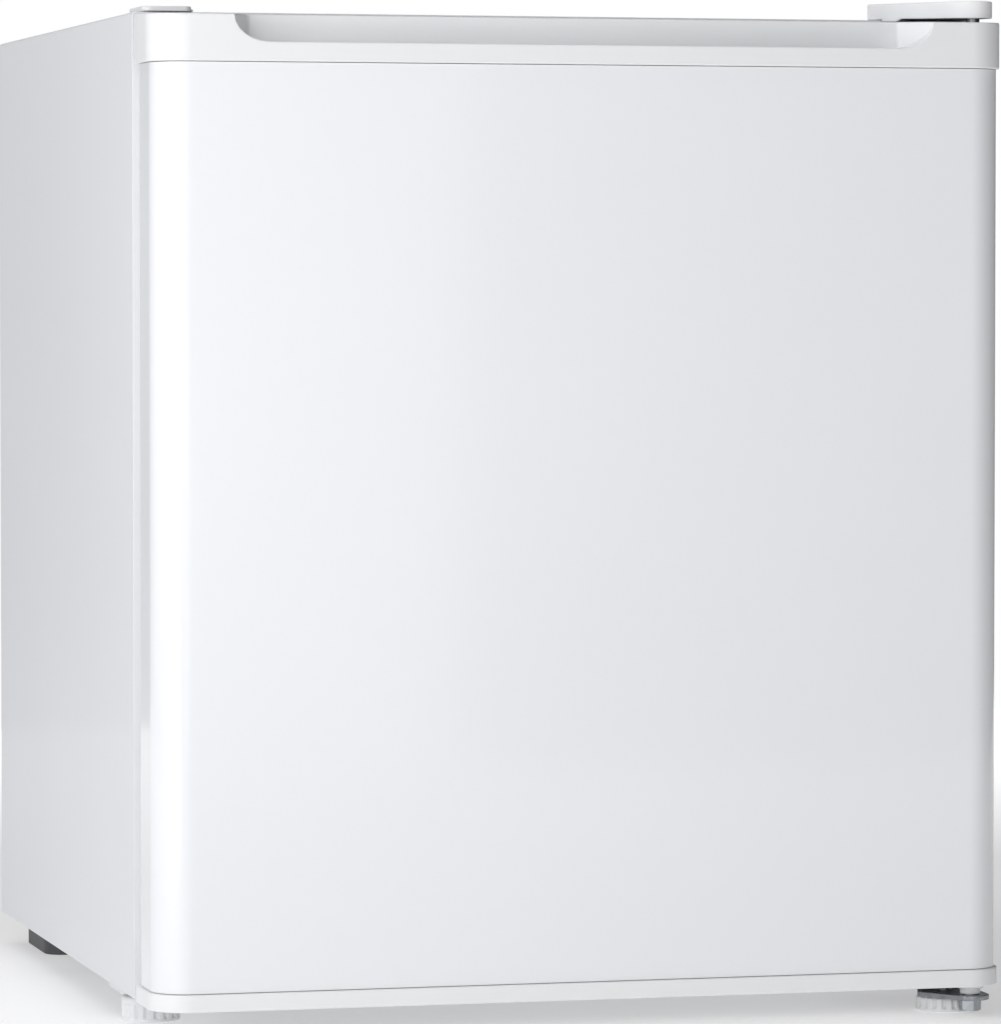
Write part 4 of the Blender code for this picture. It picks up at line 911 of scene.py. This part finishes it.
def make_process_tube():
    """The pinched stub that the factory fills the circuit through."""
    angle = radians(-60)
    out = Vector((cos(angle), sin(angle), 0))
    foot = Vector((*POT, 0.072)) + out * POT_RADIUS * 0.99
    corners = [foot, foot + out * 14 * MM, foot + out * 15 * MM + Vector((0, 0, 0.03))]
    line = rounded_line(corners, 6 * MM, 8)
    shape = pipe(line, 3 * MM, 20)
    end = line[-1]
    pinch_start = end.z - 12 * MM
    for vertex in shape.verts:
        if vertex.co.z > pinch_start:
            near = clamp((vertex.co.z - pinch_start) / (6 * MM))
            vertex.co -= out * (vertex.co - end).dot(out) * 0.75 * near
    show("process_tube", shape, "compressor", slot="copper")


def make_cover_clip():
    """A sprung wire that holds the terminal cover."""
    low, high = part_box("terminal_cover")
    y = (low.y + high.y) / 2
    front, under, over = low.x - 0.8 * MM, low.z - 2 * MM, high.z + 1 * MM
    corners = [
        (high.x + 1 * MM, y, under), (front, y, under), (front, y, high.z - 5 * MM),
        (low.x + 4 * MM, y, over), (high.x - 1 * MM, y, over),
    ]
    line = rounded_line(corners, 2.5 * MM, 6)
    show("cover_clip", pipe(line, 0.75 * MM, 12), "terminal_cover", slot="steel")


# -------------------------------------------------------------------- pipes

CONDENSER_Y = 0.2265
DISCHARGE_X = 0.176
PANEL_Y = 0.198  # pipes that run up in front of the back panel


def make_drier():
    """The filter drier, with spun ends."""
    low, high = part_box("filter_drier")
    radius = (high.x - low.x) / 2
    profile = [
        (0, low.z), (2.2 * MM, low.z), (2.4 * MM, low.z + 4 * MM), (radius, low.z + 11 * MM),
        (radius, high.z - 12 * MM), (3.3 * MM, high.z - 5 * MM), (3.1 * MM, high.z), (0, high.z),
    ]
    shape = turned(rounded_profile(profile, 3 * MM, 6), centre_of(low, high), steps=48)
    stand_in("drier", shape, "filter_drier")


def stub(angle, height, reach=0.6 * MM):
    """A point just off the pot's wall, where a pipe leaves it."""
    radius = POT_RADIUS + reach
    return (POT[0] + radius * cos(radians(angle)), POT[1] + radius * sin(radians(angle)), height)


def make_pipe(node, radius, bends, corners):
    """A round pipe in a CAD node's place, with a bend radius for each corner."""
    line = rounded_line(corners, [bend * MM for bend in bends], 12)
    stand_in(node + "_smooth", pipe(line, radius * MM, 20), node)


def make_pipes():
    """Copper pipes on smooth bends. Their own and their bends' radii are in millimetres."""
    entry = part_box("suction_pipe")[1].z
    drier = centre_of(*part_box("filter_drier"))[0]
    make_pipe("discharge_pipe", 2.4, (0, 8, 8, 0), [
        stub(50, 0.070), stub(50, 0.070, 18 * MM),
        (DISCHARGE_X, CONDENSER_Y, 0.085), (DISCHARGE_X, CONDENSER_Y, 0.187),
    ])
    make_pipe("suction_pipe", 3.2, (0, 7, 22, 14, 0), [
        stub(118, 0.072), stub(118, 0.072, 14 * MM), (0.020, 0.205, 0.130),
        (-0.030, PANEL_Y, 0.150), (-0.030, PANEL_Y, entry),
    ])
    make_pipe("capillary_tube", 1.1, (0, 8, 14, 25, 12, 0), [
        (drier, CONDENSER_Y, 0.0697), (drier, CONDENSER_Y, 0.052), (-0.150, 0.205, 0.048),
        (-0.100, PANEL_Y, 0.090), (-0.046, PANEL_Y, 0.120), (-0.046, PANEL_Y, entry),
    ])


def make_gland():
    """The collar that the mains lead would leave through."""
    low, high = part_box("mains_cable_gland")
    bore, flange, collar, face = 3.5 * MM, 7 * MM, 5.6 * MM, low.y
    corners = [
        (bore, face), (flange, face), (flange, face + 3.2 * MM), (collar, face + 4 * MM),
        (4.8 * MM, high.y), (bore, high.y),
    ]
    shape = turned(outline(corners, 0.5 * MM, 4), centre_of(low, high, "xz"), "Y", 60)
    stand_in("gland", shape, "mains_cable_gland")


# ------------------------------------------------------------------- inside

KNURLS = 60
NUMERALS = 7
NUMERAL_CIRCLE = 22 * MM
CHANNEL_RUNS = 7


def make_dial():
    """A thermostat dial with a knurled rim, a waisted grip and a pointer line."""
    low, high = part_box("thermostat_knob")
    centre = centre_of(low, high, "xz")
    back, front, rim = high.y, low.y, (high.x - low.x) / 2
    face = back - 6.4 * MM

    def knurl(angle, radius, height):
        cut = 0.35 * MM * (0.5 + 0.5 * cos(angle * KNURLS)) if radius > rim * 0.97 else 0
        return radius - cut, height

    corners = [
        (0, back), (rim, back), (rim, back - 5 * MM), (rim - 1.6 * MM, back - 7 * MM),
        (6 * MM, face), (0, face),
    ]
    disc = turned(rounded_profile(corners, 0.8 * MM), centre, "Y", 360, knurl)
    grip = []
    for depth, width, length in (
        (6.0, 4.2, 14.6), (7.6, 3.6, 14.4), (13.0, 3.2, 14.0), (14.4, 2.9, 13.7),
        ((back - front) / MM, 2.2, 13.0),
    ):
        plan = outline(rectangle(centre, width * MM, length * MM), width * 0.98 * MM, 8)
        grip.append((plan, back - depth * MM))
    stand_in("dial", merged(disc, loft(grip, "Y")), "thermostat_knob", sharp=50)
    plan = rectangle((centre[0], centre[1] + 8.25 * MM), 0.5 * MM, 3.75 * MM)
    mark = prism(outline(plan, 0.3 * MM, 3), front - 0.08 * MM, front + 0.1 * MM, "Y")
    show("dial_pointer", mark, "thermostat_knob", slot="dark_plastic")


def numeral(text, size, spot):
    """A raised figure that faces the front."""
    curve = bpy.data.curves.new("numeral", "FONT")
    curve.body = text
    curve.size = size
    curve.extrude = 0.08 * MM
    curve.align_x = "CENTER"
    curve.align_y = "CENTER"
    holder = bpy.data.objects.new("numeral", curve)
    mesh = bpy.data.meshes.new_from_object(holder)
    mesh.transform(Matrix.Translation(spot) @ Matrix.Rotation(radians(90), 4, "X"))
    shape = bmesh.new()
    shape.from_mesh(mesh)
    bpy.data.objects.remove(holder)
    bpy.data.curves.remove(curve)
    bpy.data.meshes.remove(mesh)
    return shape


def make_dial_scale():
    """Plain numerals round the dial, an eighth of a turn apart."""
    x, z = centre_of(*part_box("thermostat_knob"), "xz")
    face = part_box("thermostat_housing")[0].y
    shapes = []
    for i in range(NUMERALS):
        angle = radians(45 * i)
        spot = Vector((x + NUMERAL_CIRCLE * sin(angle), face, z + NUMERAL_CIRCLE * cos(angle)))
        shapes.append(numeral(str(i), 4.4 * MM, spot))
    show("dial_scale", merged(*shapes), "thermostat_housing", slot="dark_plastic", sharp=30)


def make_evaporator_channels():
    """Roll-bonded channels that stand proud of the evaporator's underside."""
    low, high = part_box("evaporator_box")
    level = low.z - 0.2 * MM
    ends = (low.y + 20 * MM, high.y - 20 * MM)
    path = []
    for i in range(CHANNEL_RUNS):
        x = low.x + 25 * MM + (high.x - low.x - 50 * MM) * i / (CHANNEL_RUNS - 1)
        path += [(x, y, level) for y in (ends if i % 2 == 0 else ends[::-1])]
    under = pipe(rounded_line(path, 12 * MM, 8), 2.6 * MM, 12)
    for vertex in under.verts:
        vertex.co.z = level + (vertex.co.z - level) * 0.5
    show("evaporator_channels", under, "evaporator_box")


# ----------------------------------------------------------------- assembly

EDGE_WIDTHS = {  # millimetres, for the CAD nodes that show as they are
    "outer_shell": 0.35, "bottom_plate": 0.3, "inner_liner": 0.4, "door_liner": 0.4,
    "door_top_cap": 0.8, "door_bottom_cap": 0.8, "hinge_cover": 0.7, "blanking_cover": 0.5,
    "lower_hinge_bracket": 0.35, "foot_bracket_left": 0.35, "upper_hinge_plate": 0.35,
    "rear_foot_left": 0.8, "rear_foot_right": 0.8, "evaporator_box": 0.5, "freezer_frame": 0.8,
    "freezer_flap": 0.25, "thermostat_housing": 0.6, "door_rack_upper": 0.5,
    "door_rack_lower": 0.5, "drip_tray": 0.5, "shelf_upper_glass": 0.6,
    "shelf_lower_glass": 0.6, "shelf_upper_trim": 0.5, "shelf_lower_trim": 0.5,
    "terminal_cover": 0.8, "compressor_rail": 0.3, "condenser_bracket_left": 0.4,
    "condenser_bracket_right": 0.4, "evaporator_spacer": 0.6,
}
REPAINTED = {"foot_bracket_left": "side_paint"}


def make_pieces():
    make_back_panel()
    make_back_screws()
    make_condenser()
    make_compressor()
    make_drier()
    make_pipes()
    make_gland()
    make_dial()
    make_dial_scale()
    make_evaporator_channels()
    make_door_panel()
    make_gasket()
    for side in ("left", "right"):
        make_knob(side)
        make_stud(side)
    make_hinge_bolt()
    make_washer()
    make_bracket_screws()


def finish_cad_nodes():
    """Gives every CAD node its finish, and rounds the edges of those that show."""
    for node, width in EDGE_WIDTHS.items():
        refine(node, width * MM)
    for node, slot in {**SLOT_OF, **REPAINTED}.items():
        obj = frame["nodes"][node]
        obj.data.materials.clear()
        obj.data.materials.append(FINISHES[slot].material)


make_studio()
FINISHES = make_finishes()
make_pieces()
finish_cad_nodes()
